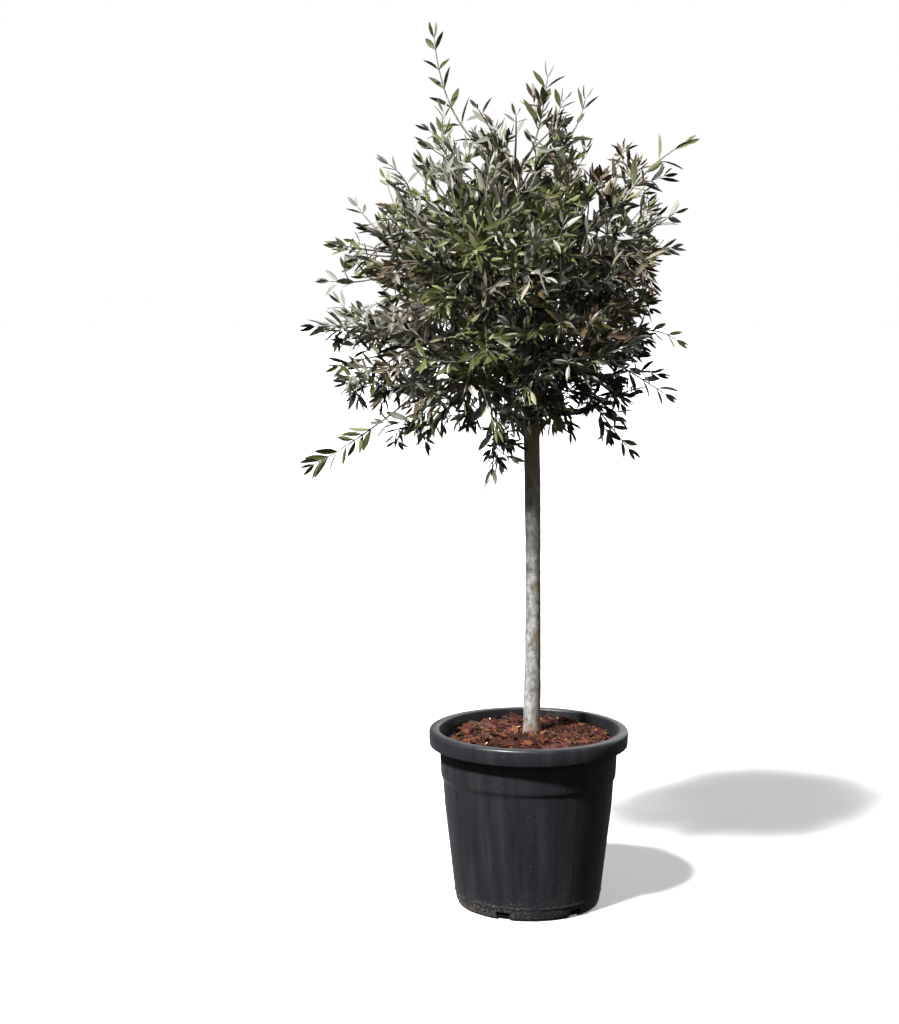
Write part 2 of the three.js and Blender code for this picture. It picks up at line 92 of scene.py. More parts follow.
# %% Helpers for materials
def colour(code):
    """The linear colour of an sRGB hex value."""
    shares = [int(code[i : i + 2], 16) / 255 for i in (1, 3, 5)]
    linear = [s / 12.92 if s <= 0.04045 else ((s + 0.055) / 1.055) ** 2.4 for s in shares]
    return (*linear, 1.0)


def add(tree, kind, inputs=None, **settings):
    """Adds a node. An input is a plain value, or the output of another node, which is then linked."""
    node = tree.nodes.new(kind)
    for name, value in settings.items():
        setattr(node, name, value)
    for name, value in (inputs or {}).items():
        if isinstance(value, bpy.types.NodeSocket):
            tree.links.new(value, node.inputs[name])
        else:
            node.inputs[name].default_value = value
    return node


def ramp(node, *stops):
    """Gives a colour ramp its stops in order, each a place from 0 to 1 and a hex colour."""
    elements = node.color_ramp.elements
    while len(elements) > 1:
        elements.remove(elements[-1])
    elements[0].position, elements[0].color = stops[0][0], colour(stops[0][1])
    for place, code in stops[1:]:
        elements.new(place).color = colour(code)


def new_finish(name, follows="Object"):
    """A new material, its node tree, and the coordinates that its patterns follow."""
    material = bpy.data.materials.new(name)
    material.use_nodes = True
    tree = material.node_tree
    tree.nodes.clear()
    return material, tree, add(tree, "ShaderNodeTexCoord").outputs[follows]


def mottled(tree, pattern, *stops):
    """A noise of these settings, and the tints that a ramp makes of it."""
    noise = add(tree, "ShaderNodeTexNoise", pattern).outputs["Fac"]
    tints = add(tree, "ShaderNodeValToRGB", {"Fac": noise})
    ramp(tints, *stops)
    return noise, tints.outputs[0]


def tinted(tree, under, measure, low, high, most, code):
    """Mixes another colour in: none of it where the measure is low, and the most where it is high."""
    ranged = {"Value": measure, "From Min": low, "From Max": high, "To Min": 0.0, "To Max": most}
    share = add(tree, "ShaderNodeMapRange", ranged).outputs[0]
    mixed = {"Factor": share, 6: under, 7: colour(code)}
    return add(tree, "ShaderNodeMix", mixed, data_type="RGBA").outputs[2]


def surface(tree, looks, bumps=None, strength=0.0, depth=0.0):
    """Ends a finish: a shader with these looks, its fine relief from a pattern of bumps, and the output."""
    if bumps is not None:
        raised = {"Height": bumps, "Strength": strength, "Distance": depth}
        looks = {**looks, "Normal": add(tree, "ShaderNodeBump", raised).outputs[0]}
    shader = add(tree, "ShaderNodeBsdfPrincipled", looks)
    add(tree, "ShaderNodeOutputMaterial", {"Surface": shader.outputs[0]})


# %% [markdown]
# Black nursery pots are injection-moulded from recycled polythene. That gives a soft, slightly blue black
# with a satin shine, faint streaks where the plastic flowed down the wall, and a fine grain. Out in the
# nursery it also gathers dust, most of it as soil splashed on the lowest few centimetres, and thickest on one
# side. The streaks are noise that is drawn out along the height. The splashes are a finer noise that fades
# out with height and away from that side. A little sheen stands for the film of dust, which pales the pot's
# edges. The inside of the wall above the mulch is painted darker, a painted shade for the rim's shadow.

# %% Finish: moulded black polythene
STREAK_WIDTH = 16 * MM
STREAK_LENGTH = 50  # times its width
GRAIN_SIZE = 1.6 * MM
SPLASH_SIZE = 2.6 * MM
SPLASH_TOP = 0.045  # metres above the ground
SPLASHED = (0.085, -0.035)  # added to the splashes' noise at the ground and at their top
DUSTIEST_WAY = (-0.83, -0.56, 0)  # from the pot's middle
POT_FOOT_RADIUS = 0.11
# painted shade: the inside of the wall above the mulch, where the rim's shadow falls
INSIDE_SHADE_RADII = (0.1372, 0.135)  # metres from the middle, from the rim's edge inwards
INSIDE_SHADE_HEIGHTS = (0.232, 0.236)  # metres, where the mulch hides the wall below

polythene, tree, place = new_finish("moulded_black_polythene")
height = add(tree, "ShaderNodeSeparateXYZ", {"Vector": place}).outputs["Z"]
tall = add(tree, "ShaderNodeMapping", {"Vector": place, "Scale": (1, 1, 1 / STREAK_LENGTH)})
flowed = {"Vector": tall.outputs[0], "Scale": 1 / STREAK_WIDTH, "Detail": 4}
streaks, plastic = mottled(tree, flowed, (0.3, "#242429"), (0.52, "#2A2A30"), (0.75, "#373635"))

specks = add(tree, "ShaderNodeTexNoise", {"Vector": place, "Scale": 1 / SPLASH_SIZE, "Detail": 6})
low = add(tree, "ShaderNodeMapRange", {
    "Value": height, "From Max": SPLASH_TOP, "To Min": SPLASHED[0], "To Max": SPLASHED[1],
}).outputs[0]
towards = add(tree, "ShaderNodeVectorMath", {0: place, 1: DUSTIEST_WAY}, operation="DOT_PRODUCT")
dustier = add(tree, "ShaderNodeMapRange", {
    "Value": towards.outputs["Value"], "From Min": 0.5 * POT_FOOT_RADIUS, "From Max": POT_FOOT_RADIUS,
}).outputs[0]
both = add(tree, "ShaderNodeMath", {0: dustier, 1: low, 2: low}, operation="MULTIPLY_ADD").outputs[0]
splash = add(tree, "ShaderNodeMath", {0: specks.outputs["Fac"], 1: both}, operation="ADD").outputs[0]
dusty = add(tree, "ShaderNodeMapRange", {
    "Value": splash, "From Min": 0.6, "From Max": 0.74, "To Max": 0.8,
}).outputs[0]
splashed = {"Factor": dusty, 6: plastic, 7: colour("#7D7466")}
skin = add(tree, "ShaderNodeMix", splashed, data_type="RGBA").outputs[2]

level = add(tree, "ShaderNodeVectorMath", {0: place, 1: (1, 1, 0)}, operation="MULTIPLY").outputs[0]
away = add(tree, "ShaderNodeVectorMath", {0: level}, operation="LENGTH").outputs["Value"]
above = add(tree, "ShaderNodeMapRange", {
    "Value": height, "From Min": INSIDE_SHADE_HEIGHTS[0], "From Max": INSIDE_SHADE_HEIGHTS[1], "To Max": 0.62,
}).outputs[0]
# painted shade: the inside of the wall is darkened above the mulch
skin = tinted(tree, skin, away, *INSIDE_SHADE_RADII, above, "#0B0B0D")

worn = add(tree, "ShaderNodeMath", {0: streaks, 1: dusty}, operation="ADD").outputs[0]
dullness = add(tree, "ShaderNodeMapRange", {
    "Value": worn, "From Min": 0.3, "From Max": 0.9, "To Min": 0.32, "To Max": 0.52,
}).outputs[0]
grain = add(tree, "ShaderNodeTexNoise", {"Vector": place, "Scale": 1 / GRAIN_SIZE, "Detail": 3})
looks = {
    "Base Color": skin, "Roughness": dullness, "IOR": 1.51, "Sheen Weight": 0.1, "Sheen Roughness": 0.4,
}
surface(tree, looks, grain.outputs["Fac"], 0.1, 0.4 * MM)
print("made", polythene.name)

# %% [markdown]
# Any round piece here is made as a potter throws it: a flat disc is extruded upwards one ring at a time, and
# each new ring is moved and scaled to the place and radius that the profile asks for. When a mesh is only
# that disc, extruding it keeps the first face as the bottom, so the piece is closed from its first ring to
# its last.

# %% Helpers for modelling
def nothing_selected():
    """Operators act on all that is selected, so each piece starts from an empty selection."""
    if bpy.context.object and bpy.context.object.mode == "EDIT":
        bpy.ops.object.mode_set(mode="OBJECT")
    bpy.ops.object.select_all(action="DESELECT")


def pick(piece):
    """Selects this piece alone and makes it the active one."""
    nothing_selected()
    piece.select_set(True)
    bpy.context.view_layer.objects.active = piece


def thrown(name, profile, sides):
    """A closed round piece from rings of a radius, a height and, if not 0, a place along X, all in mm."""
    nothing_selected()
    rings = [(*ring, 0)[:3] for ring in profile]
    radius, z, x = rings[0]
    bpy.ops.mesh.primitive_circle_add(
        vertices=sides, radius=radius * MM, fill_type="NGON", location=(0, 0, 0)
    )
    piece = bpy.context.object
    piece.name = piece.data.name = name
    bpy.ops.object.mode_set(mode="EDIT")
    bpy.ops.mesh.select_mode(type="FACE")
    bpy.ops.mesh.select_all(action="SELECT")
    bpy.ops.transform.translate(value=(x * MM, 0, z * MM))
    for next_radius, next_z, next_x in rings[1:]:
        move = ((next_x - x) * MM, 0, (next_z - z) * MM)
        bpy.ops.mesh.extrude_region_move(TRANSFORM_OT_translate={"value": move})
        share = next_radius / radius
        centre = (next_x * MM, 0, next_z * MM)
        bpy.ops.transform.resize(value=(share, share, 1), center_override=centre)
        radius, z, x = next_radius, next_z, next_x
    bpy.ops.mesh.select_all(action="SELECT")
    bpy.ops.mesh.remove_doubles(threshold=1e-6)
    bpy.ops.mesh.normals_make_consistent(inside=False)
    bpy.ops.object.mode_set(mode="OBJECT")
    return piece


def apply_modifier(piece, name, kind, **settings):
    """Gives the active piece a modifier with its settings, and applies it."""
    modifier = piece.modifiers.new(name, kind)
    for setting, value in settings.items():
        setattr(modifier, setting, value)
    bpy.ops.object.modifier_apply(modifier=modifier.name)


def finished(piece, finishes, nodes, crease=None):
    """Gives a piece its finishes and stands it in for CAD nodes, whose parts it hides.

    A crease is the angle in degrees from which an edge stays sharp.
    """
    if crease:
        bpy.ops.object.shade_smooth_by_angle(angle=math.radians(crease))
    for finish in finishes:
        piece.data.materials.append(finish)
    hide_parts(*nodes)
    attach(piece, "root")
    faces = piece.data.polygons
    print(piece.name, "has", sum(len(f.vertices) - 2 for f in faces), "triangles")


# %% [markdown]
# The pot's wall is only about two millimetres thick. From the ground up it has a rounded foot, a moulded line
# two centimetres up, a long wall that widens, a small step below the collar, and a rim that turns over and
# hangs down as a skirt. The inside follows the outside back down to the floor. The same profile could be
# drawn as a curve and spun, but extruding ring by ring leaves even faces for the ribs to come.

# %% The pot's body
POT_SIDES = 192
POT_PROFILE = [
    (104.0, 0), (105.3, 0.3), (106.5, 1.2), (107.7, 3.0), (108.7, 6), (109.5, 10), (110.1, 14),
    (110.5, 17), (110.8, 18), (111.4, 18.8), (111.6, 19.6), (111.4, 20.4), (111.2, 21.4),
    (111.6, 25), (116.4, 67), (121.2, 109), (126.0, 151), (128.6, 186),
    (129.0, 191.5), (129.8, 193.4), (131.3, 195.4), (131.9, 197.6),
    (132.2, 203), (133.5, 232), (134.6, 261),
    (135.0, 262), (146.6, 262), (147.6, 261.2), (147.7, 244.2), (148.2, 243.2), (149.0, 243.2),
    (149.4, 244.2), (149.9, 255), (150.0, 261.5), (149.6, 264), (148.4, 266), (146.4, 267),
    (138.0, 267), (136.4, 266.5), (135.4, 265.2), (134.9, 262.5),
    (132.9, 232), (129.8, 197), (127.6, 194.6), (126.8, 192.4), (126.3, 185),
    (117.5, 100), (107.8, 19), (106.8, 6.5), (104.8, 5.0),
]

pot = thrown("nursery_pot", POT_PROFILE, POT_SIDES)
print("the pot in mm, across and high:", round(pot.dimensions.x / MM), round(pot.dimensions.z / MM))

# %% [markdown]
# Thin upright ribs stiffen the wall. Every eighth column of faces on the outside is selected by its place,
# and pushed out along its normals by a fifth of a millimetre. The water runs out through six slots in the
# foot, which are cut by six boxes in one Boolean.

# %% Ribs and drain slots
RIBS = 24
RIB_HEIGHT = 0.2
RIB_FOOT, RIB_TOP = 24, 187
SLOTS = 6
SLOT_WIDTH, SLOT_HEIGHT = 21, 12.5
SLOT_INNER, SLOT_OUTER = 98, 115
SLOT_FIRST = 8  # degrees round from X


def on_a_rib(centre, normal):
    """True for an outer face of the wall in one of the ribs' columns."""
    column = math.degrees(math.atan2(centre.y, centre.x)) * POT_SIDES / 360
    facing_out = normal.x * centre.x + normal.y * centre.y > 0
    return facing_out and RIB_FOOT < centre.z < RIB_TOP and int(column % (POT_SIDES / RIBS)) == 0


bpy.ops.object.mode_set(mode="EDIT")
bpy.ops.mesh.select_all(action="DESELECT")
bpy.ops.object.mode_set(mode="OBJECT")
for face in pot.data.polygons:
    face.select = on_a_rib(face.center / MM, face.normal)
bpy.ops.object.mode_set(mode="EDIT")
bpy.ops.mesh.extrude_region_shrink_fatten(TRANSFORM_OT_shrink_fatten={"value": RIB_HEIGHT * MM})
nothing_selected()
cutters = []
middle = (SLOT_INNER + SLOT_OUTER) / 2 * MM
for i in range(SLOTS):
    turn = math.radians(SLOT_FIRST + 360 / SLOTS * i)
    bpy.ops.mesh.primitive_cube_add(
        size=1,
        location=(math.cos(turn) * middle, math.sin(turn) * middle, 0),
        rotation=(0, 0, turn),
        scale=((SLOT_OUTER - SLOT_INNER) * MM, SLOT_WIDTH * MM, 2 * SLOT_HEIGHT * MM),
    )
    cutters.append(bpy.context.object)
for cutter in cutters:
    cutter.select_set(True)
bpy.ops.object.join()
cutter = bpy.context.object
pick(pot)
apply_modifier(pot, "drain slots", "BOOLEAN", operation="DIFFERENCE", object=cutter)
bpy.data.objects.remove(cutter)
finished(pot, [polythene], ["pot"], crease=40)

# %% [markdown]
# Under the bark lies dark peat compost. It shows only through the drain slots and between the chips, so the
# plain CAD solid stays, with a finish of its own: near black, fully dull, and crumbly.

# %% Finish: damp peat compost
CRUMB = 4 * MM

compost, tree, place = new_finish("damp_peat_compost")
crumbly = {"Vector": place, "Scale": 1 / CRUMB, "Detail": 8}
crumbs, earth = mottled(tree, crumbly, (0.35, "#070504"), (0.55, "#120C08"), (0.72, "#24180F"))
surface(tree, {"Base Color": earth, "Roughness": 0.95}, crumbs, 0.9, 2 * MM)
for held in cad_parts["potting_soil"].material_slots:
    held.material = compost
print("made", compost.name)

# %% [markdown]
# The mulch is chopped pine bark, heaped a little towards the trunk. Its bed is a thrown disc whose upper face
# is broken up, all but its edge, by two Displace modifiers, one for the heaps and one for the crumbs. The bed
# wears the near-black compost finish: compost does lie under the chips, and its darkness in the gaps between
# them is also painted shade.

# %% The bed under the chips
BED_EDGE = 129.2
BED_FOOT_Z = 240.3
BED_SIDES = 144
BED_RINGS = np.linspace(BED_EDGE - 1, 3, 42)  # radii of its upper face
MULCH_EDGE_Z, MULCH_MIDDLE_Z = 250, 260
BED_BELOW_CHIPS = 8  # the chips lie this far above the bed's own surface, in mm
BED_RELIEF = [("heaps", 16, 5), ("crumbs", 4, 2.5)]  # size and height in mm
EVEN_EDGE_Z = 243.3  # mm, and up to here the edge of the bed stays even


def mulch_height(radius):
    """Height of the heaped mulch at a distance from the middle, both in millimetres."""
    return MULCH_MIDDLE_Z + (MULCH_EDGE_Z - MULCH_MIDDLE_Z) * (radius / BED_EDGE) ** 2


def displaced(piece, name, size, height, detail=2, **settings):
    """Roughens the active piece by a cloudy pattern of a size and a height in mm."""
    texture = bpy.data.textures.new(name, "CLOUDS")
    texture.noise_scale = size * MM
    texture.noise_depth = detail
    apply_modifier(piece, name, "DISPLACE", texture=texture, strength=height * MM, **settings)


bed_profile = [(BED_EDGE, BED_FOOT_Z), (BED_EDGE, mulch_height(BED_EDGE) - BED_BELOW_CHIPS)]
bed_profile += [(radius, mulch_height(radius) - BED_BELOW_CHIPS) for radius in BED_RINGS]
bed = thrown("mulch_bed", bed_profile, BED_SIDES)
heaped = bed.vertex_groups.new(name="heaped")
heaped.add([v.index for v in bed.data.vertices if v.co.z > EVEN_EDGE_Z * MM], 1.0, "REPLACE")
for name, size, height in BED_RELIEF:
    displaced(bed, name, size, height, direction="Z", vertex_group=heaped.name)
# the bed's near-black finish is partly real compost and partly painted shade between the chips
finished(bed, [compost], ["bark_mulch"], crease=60)

# %% [markdown]
# Pine bark is red-brown outside, darker where it is damp, purplish where its plates parted, more orange where
# a chip has split, and tan where it has weathered. Each gets its own material, because the chips are dealt
# out among them one by one, and a few pale slivers are bare sapwood. The fibres are a noise that is drawn out
# along each chip, which works because every chip gets a flat map of its own, in metres, shifted by chance.

# %% Finishes: bark chips
FIBRE_WIDTH = 1.1 * MM
FIBRE_SCALE = (0.12, 1, 1)  # which draws the fibres out along X
CHIP_FINISHES = [  # name, dark, middle and light colour, and share of the chips
    ("damp_dark_bark", "#140804", "#2E140C", "#4A261A", 0.27),
    ("red_brown_bark", "#2A130C", "#4E261B", "#74402F", 0.3),
    ("purple_brown_bark", "#33191B", "#573030", "#7E534E", 0.19),
    ("split_orange_bark", "#42200F", "#6C3F26", "#A46E4A", 0.13),
    ("weathered_tan_bark", "#32261A", "#543D28", "#84694A", 0.11),
    ("pale_sapwood", "#A88A66", "#D8BE9A", "#F0DCBC", 0.0),
]

chip_materials = []
for name, dark, middle, light, share in CHIP_FINISHES:
    material, tree, flat = new_finish(name, "UV")
    long = add(tree, "ShaderNodeMapping", {"Vector": flat, "Scale": FIBRE_SCALE})
    drawn_out = {"Vector": long.outputs[0], "Scale": 1 / FIBRE_WIDTH, "Detail": 4, "Distortion": 0.4}
    fibres, tint = mottled(tree, drawn_out, (0.36, dark), (0.5, middle), (0.66, light))
    looks = {"Base Color": tint, "Roughness": 0.82, "Specular IOR Level": 0.25}
    surface(tree, looks, fibres, 0.7, 0.8 * MM)
    chip_materials.append(material)
print("made", len(chip_materials), "finishes for the chips")

# %% [markdown]
# Chips are too many to model one by one, so they are made together from arrays. Each starts as a small slab
# of three by two cells with its corners drawn in, and is turned by a matrix of its own.

# %% Helpers for the chips
CORNER = 0.72  # of the way out, for the drawn-in corners


def slab_template():
    """Vertices of a slab of 3 by 2 cells from -1 to 1 each way, with its corners drawn in, and its faces."""
    columns, rows = 4, 3
    vertices, faces = [], []
    for layer in (1, -1):
        for i in range(columns):
            for j in range(rows):
                x, y = -1 + 2 * i / (columns - 1), -1 + 2 * j / (rows - 1)
                drawn_in = CORNER if abs(x) == 1 and abs(y) == 1 else 1.0
                vertices.append((x * drawn_in, y * drawn_in, layer))

    def at(layer, i, j):
        return layer * columns * rows + i * rows + j

    for i in range(columns - 1):
        for j in range(rows - 1):
            faces.append((at(0, i, j), at(0, i + 1, j), at(0, i + 1, j + 1), at(0, i, j + 1)))
            faces.append((at(1, i, j), at(1, i, j + 1), at(1, i + 1, j + 1), at(1, i + 1, j)))
    edge = [(i, 0) for i in range(columns)] + [(columns - 1, j) for j in range(1, rows)]
    edge += [(i, rows - 1) for i in range(columns - 2, -1, -1)]
    edge += [(0, j) for j in range(rows - 2, 0, -1)]
    for a, b in zip(edge, edge[1:] + edge[:1]):
        faces.append((at(0, *b), at(0, *a), at(1, *a), at(1, *b)))
    return np.array(vertices), np.array(faces)


def turned_frames(yaw, tilt, roll):
    """One 3 by 3 turning matrix for each chip."""
    cy, sy, ct, st, cr, sr = (f(a) for a in (yaw, tilt, roll) for f in (np.cos, np.sin))
    zero, one = np.zeros_like(yaw), np.ones_like(yaw)
    about_z = np.array([[cy, -sy, zero], [sy, cy, zero], [zero, zero, one]])
    about_y = np.array([[ct, zero, st], [zero, one, zero], [-st, zero, ct]])
    about_x = np.array([[one, zero, zero], [zero, cr, -sr], [zero, sr, cr]])
    about_z, about_y, about_x = (np.moveaxis(m, -1, 0) for m in (about_z, about_y, about_x))
    return about_z @ about_y @ about_x


def mesh_piece(name, vertices, faces, face_slots=None, flat_map=None):
    """A mesh object from arrays in mm, with the finish of each face and the flat place of each vertex."""
    mesh = bpy.data.meshes.new(name)
    mesh.from_pydata((vertices * MM).tolist(), [], [list(f) for f in faces])
    if face_slots is not None:
        mesh.polygons.foreach_set("material_index", np.asarray(face_slots, np.int32))
    if flat_map is not None:
        corners = np.asarray(faces).ravel()
        mesh.uv_layers.new(name="flat").uv.foreach_set("vector", (flat_map[corners] * MM).ravel())
    mesh.update()
    piece = bpy.data.objects.new(name, mesh)
    bpy.context.collection.objects.link(piece)
    pick(piece)
    return piece


slab, slab_faces = slab_template()
print("a chip has", 2 * len(slab_faces), "triangles")

# %% [markdown]
# Every vertex of every chip is jogged, so that no two are alike, and the chips are thrown down over the heap
# at all angles, most of them lying nearly flat. Between them lie thin shreds and a few pale slivers. The
# mulch lies higher at the back of the pot and lower at the left.

# %% The bark chips
CHIPS, SHREDS, SLIVERS = 950, 900, 9
CHIP_LENGTHS, SHRED_LENGTHS, SLIVER_LENGTHS = (10, 42), (10, 32), (8, 15)  # mm
CHIP_SLIMNESS = (0.32, 0.62)  # width against length
CHIP_DEPTHS = (1.8, 5.2)
SHRED_WIDTHS = (1.1, 2.1)
CHIP_LIFTS, SHRED_LIFTS, SLIVER_LIFT = (-8, 3), (-1, 6), 7.5  # mm above their place in the heap
SUNK = 2.5  # mm that this place is below the heap's surface
MULCH_SEED = 11
HEAP_TOP = 269  # mm, and no chip reaches higher
BACK_HEAP = 4.5  # mm that the mulch rises further at the back edge
LEFT_DIP = 3  # mm that it is lower at the left edge
TRUNK_X = 5  # place of the trunk's foot
TRUNK_ROOM = 16.5  # mm from there to the middle of a chip
TRUNK_CLEAR = 12.6  # and to its nearest corner
JOG = 0.13  # of half a chip, in each direction

rng = np.random.default_rng(MULCH_SEED)
count = CHIPS + SHREDS + SLIVERS
kind = np.repeat([0, 1, 2], [CHIPS, SHREDS, SLIVERS])
big = rng.uniform(0, 1, count) ** 1.3
slim = rng.uniform(*SHRED_WIDTHS, count)
length = np.choose(kind, [
    CHIP_LENGTHS[0] + (CHIP_LENGTHS[1] - CHIP_LENGTHS[0]) * big,
    rng.uniform(*SHRED_LENGTHS, count),
    rng.uniform(*SLIVER_LENGTHS, count),
])
width = np.choose(kind, [length * rng.uniform(*CHIP_SLIMNESS, count), slim, slim * 1.4])
thick = np.choose(kind, [rng.uniform(*CHIP_DEPTHS, count), slim * 0.7, slim * 0.8])
furthest = BED_EDGE - 1 - length / 2
away = np.maximum(np.sqrt(rng.uniform(0, 1, count)) * furthest, TRUNK_ROOM)
around = rng.uniform(0, 2 * np.pi, count)
lift = np.choose(kind, [
    rng.uniform(*CHIP_LIFTS, count), rng.uniform(*SHRED_LIFTS, count), np.full(count, SLIVER_LIFT),
])
x, y = TRUNK_X + away * np.cos(around), away * np.sin(around)
z = mulch_height(away) + lift - SUNK
z += BACK_HEAP * np.maximum(0, y) / BED_EDGE
z -= LEFT_DIP * np.maximum(0, -x) / BED_EDGE
middles = np.stack([x, y, z], axis=1)
steepness = np.choose(kind, [0.5 - 0.28 * big, np.full(count, 0.3), np.full(count, 0.12)])  # radians
frames = turned_frames(
    rng.uniform(0, 2 * np.pi, count),
    rng.normal(0, 1, count) * steepness,
    rng.normal(0, 1, count) * steepness * 1.3,
)
jogged = slab[None] + rng.normal(0, JOG, (count, *slab.shape))
jogged *= np.stack([length, width, thick], axis=1)[:, None] / 2
flat_map = jogged[..., :2] + rng.uniform(0, 1000, (count, 1, 2))
chips = np.einsum("nij,nvj->nvi", frames, jogged) + middles[:, None]
inside = np.hypot(chips[..., 0], chips[..., 1]).max(axis=1) < BED_EDGE
beside = np.hypot(chips[..., 0] - TRUNK_X, chips[..., 1]).min(axis=1) > TRUNK_CLEAR
low_enough = chips[..., 2].max(axis=1) < HEAP_TOP
kept = inside & beside & low_enough
chips, kind, flat_map = chips[kept], kind[kept], flat_map[kept]
shares = [finish[-1] for finish in CHIP_FINISHES]
dealt = rng.choice(len(shares), len(chips), p=shares)
finish_of = np.where(kind == 2, len(shares) - 1, dealt)
chip_faces = (slab_faces[None] + np.arange(len(chips))[:, None, None] * len(slab)).reshape(-1, 4)
bark_chips = mesh_piece(
    "bark_chips",
    chips.reshape(-1, 3),
    chip_faces,
    np.repeat(finish_of, len(slab_faces)),
    flat_map.reshape(-1, 2),
)
finished(bark_chips, chip_materials, ["bark_mulch"], crease=48)
print(len(chips), "chips lie in the pot, the highest at", round(chips[..., 2].max()), "mm")

# %% [markdown]
# The head grows by the rule that the CAD source uses, with the source's own sizes and its own row of seeded
# numbers, so that every shoot comes out where the solids have one. Twelve masses fan out from a hub. A bough
# carries each of them, a stem goes on from the bough's tip, and the shoots leave the stem to end on a ball
# about the head's middle. Sixteen long ones have places of their own. All of it is worked out in
# millimetres.

# %% The source's sizes
HEAD = np.array([-30.0, 0.0, 940.0])
HUB = np.array([-26.0, 0.0, 884.0])
SHOOT_REACH, SHOOT_SPREAD = 236, 58  # mm from the head's middle to a tip, and the most that chance adds
TRUNK_TOP_X = 1.0
GOLDEN_ANGLE = 180 * (3 - math.sqrt(5))
MASS_TIERS = [
    {"name": "lower", "count": 6, "elevation": -20, "first": 0, "out": 92, "z": 860, "core": 62},
    {"name": "upper", "count": 5, "elevation": 30, "first": 36, "out": 98, "z": 962, "core": 64},
    {"name": "top", "count": 1, "elevation": 90, "first": 0, "out": 0, "z": 1050, "core": 64},
]
BOUGH_TIERS = {
    "lower": {"z": 722, "rise": 5.5, "tip_out": 66, "tip_z": 796, "root": 5.2, "tip": 3.6},
    "upper": {"z": 762, "rise": 6.5, "tip_out": 44, "tip_z": 914, "root": 4.8, "tip": 3.4},
    "top": {"z": 822.3, "rise": 0, "tip_out": 0, "tip_z": 982, "root": 6.4, "tip": 3.8},
}
LONG_SHOOTS = [  # angle in the front view, reach, angle and reach of the bend, lean away from the viewer
    (107, 390, 116, 221, 12),
    (80, 318, 77, 163, -20),
    (68, 310, 62, 200, 48),
    (37, 338, 42, 220, -46),
    (10, 268, 14, 180, 30),
    (-21, 284, -16, 190, -18),
    (-36, 312, -38, 199, 14),
    (-54.5, 328, -57, 220, -30),
    (-96, 316, -94, 215, -46),
    (-137.5, 421, -130, 275, -24),
    (-154, 309, -149, 200, 26),
    (-167, 318, -162, 200, -40),
    (180, 292, -176, 190, 18),
    (169, 280, 172, 190, -22),
    (138, 266, 134, 180, -34),
    (-112, 120, -110, 90, -262),
]
LATTICE_SHOOTS = 112
LOWEST_ELEVATION = -76  # degrees, and none of the shorter shoots points lower
LONG_SHOOT_ROOM = 13  # degrees round a long shoot that stay free of the shorter ones
STEM_REACH = 0.9  # of the core's radius, from its middle outwards
DEPARTURE = 0.84  # mm back along the stem, for each mm that a tip lies aside of it
CORE_NUMBERS = 42  # numbers that the source draws for each core before its shoots
SEED = 7
print(len(LONG_SHOOTS), "long shoots and up to", LATTICE_SHOOTS, "shorter ones")

# %% [markdown]
# The source draws its numbers by a plain rule of remainders, which any language repeats exactly. A limb or a
# shoot is a curve with one bend. It knows its own length, so that leaves can be spaced evenly along it.

# %% Seeded numbers, directions and curves
def seeded(seed):
    """The source's repeatable row of numbers from 0 to 1."""
    state = (seed * 2654435761) % 2**32

    def draw():
        nonlocal state
        state = (state * 1664525 + 1013904223) % 2**32
        return state / 2**32

    return draw


def direction(azimuth, elevation):
    """Unit vector towards an azimuth and an elevation in degrees."""
    a, e = math.radians(azimuth), math.radians(elevation)
    return np.array([math.cos(a) * math.cos(e), math.sin(a) * math.cos(e), math.sin(e)])


def unit(vector):
    """The vector at length 1."""
    return vector / np.linalg.norm(vector)


class Arc:
    """A curve from a root by way of a bend to a tip."""

    def __init__(self, root, bend, tip):
        self.root, self.bend, self.tip = root, bend, tip
        self.steps = np.linspace(0, 1, 61)
        points = self.at(self.steps)
        pieces = np.linalg.norm(np.diff(points, axis=0), axis=1)
        self.run = np.concatenate([[0], np.cumsum(pieces)])
        self.length = self.run[-1]

    def at(self, t):
        t = np.asarray(t, float)[..., None]
        return (1 - t) ** 2 * self.root + 2 * t * (1 - t) * self.bend + t * t * self.tip

    def along(self, t):
        way = (1 - t) * (self.bend - self.root) + t * (self.tip - self.bend)
        return unit(way)

    def step_at(self, distance):
        """The curve's own parameter at a distance from its root."""
        return float(np.interp(distance, self.run, self.steps))


first_draw = seeded(SEED)
print("a row of numbers starts with", [round(first_draw(), 3) for i in range(3)])

# %% [markdown]
# Here the masses are worked out, in three tiers. Each has a bough, which leaves the trunk at an angle and
# bends up to its tip, and a stem, which goes on from there the way that the bough runs and ends at the edge
# of the mass.

# %% Masses, boughs and stems
BOUGH_OUT, BOUGH_UP = 0.6, 0.36  # of the way out and of the rise, at a bough's bend

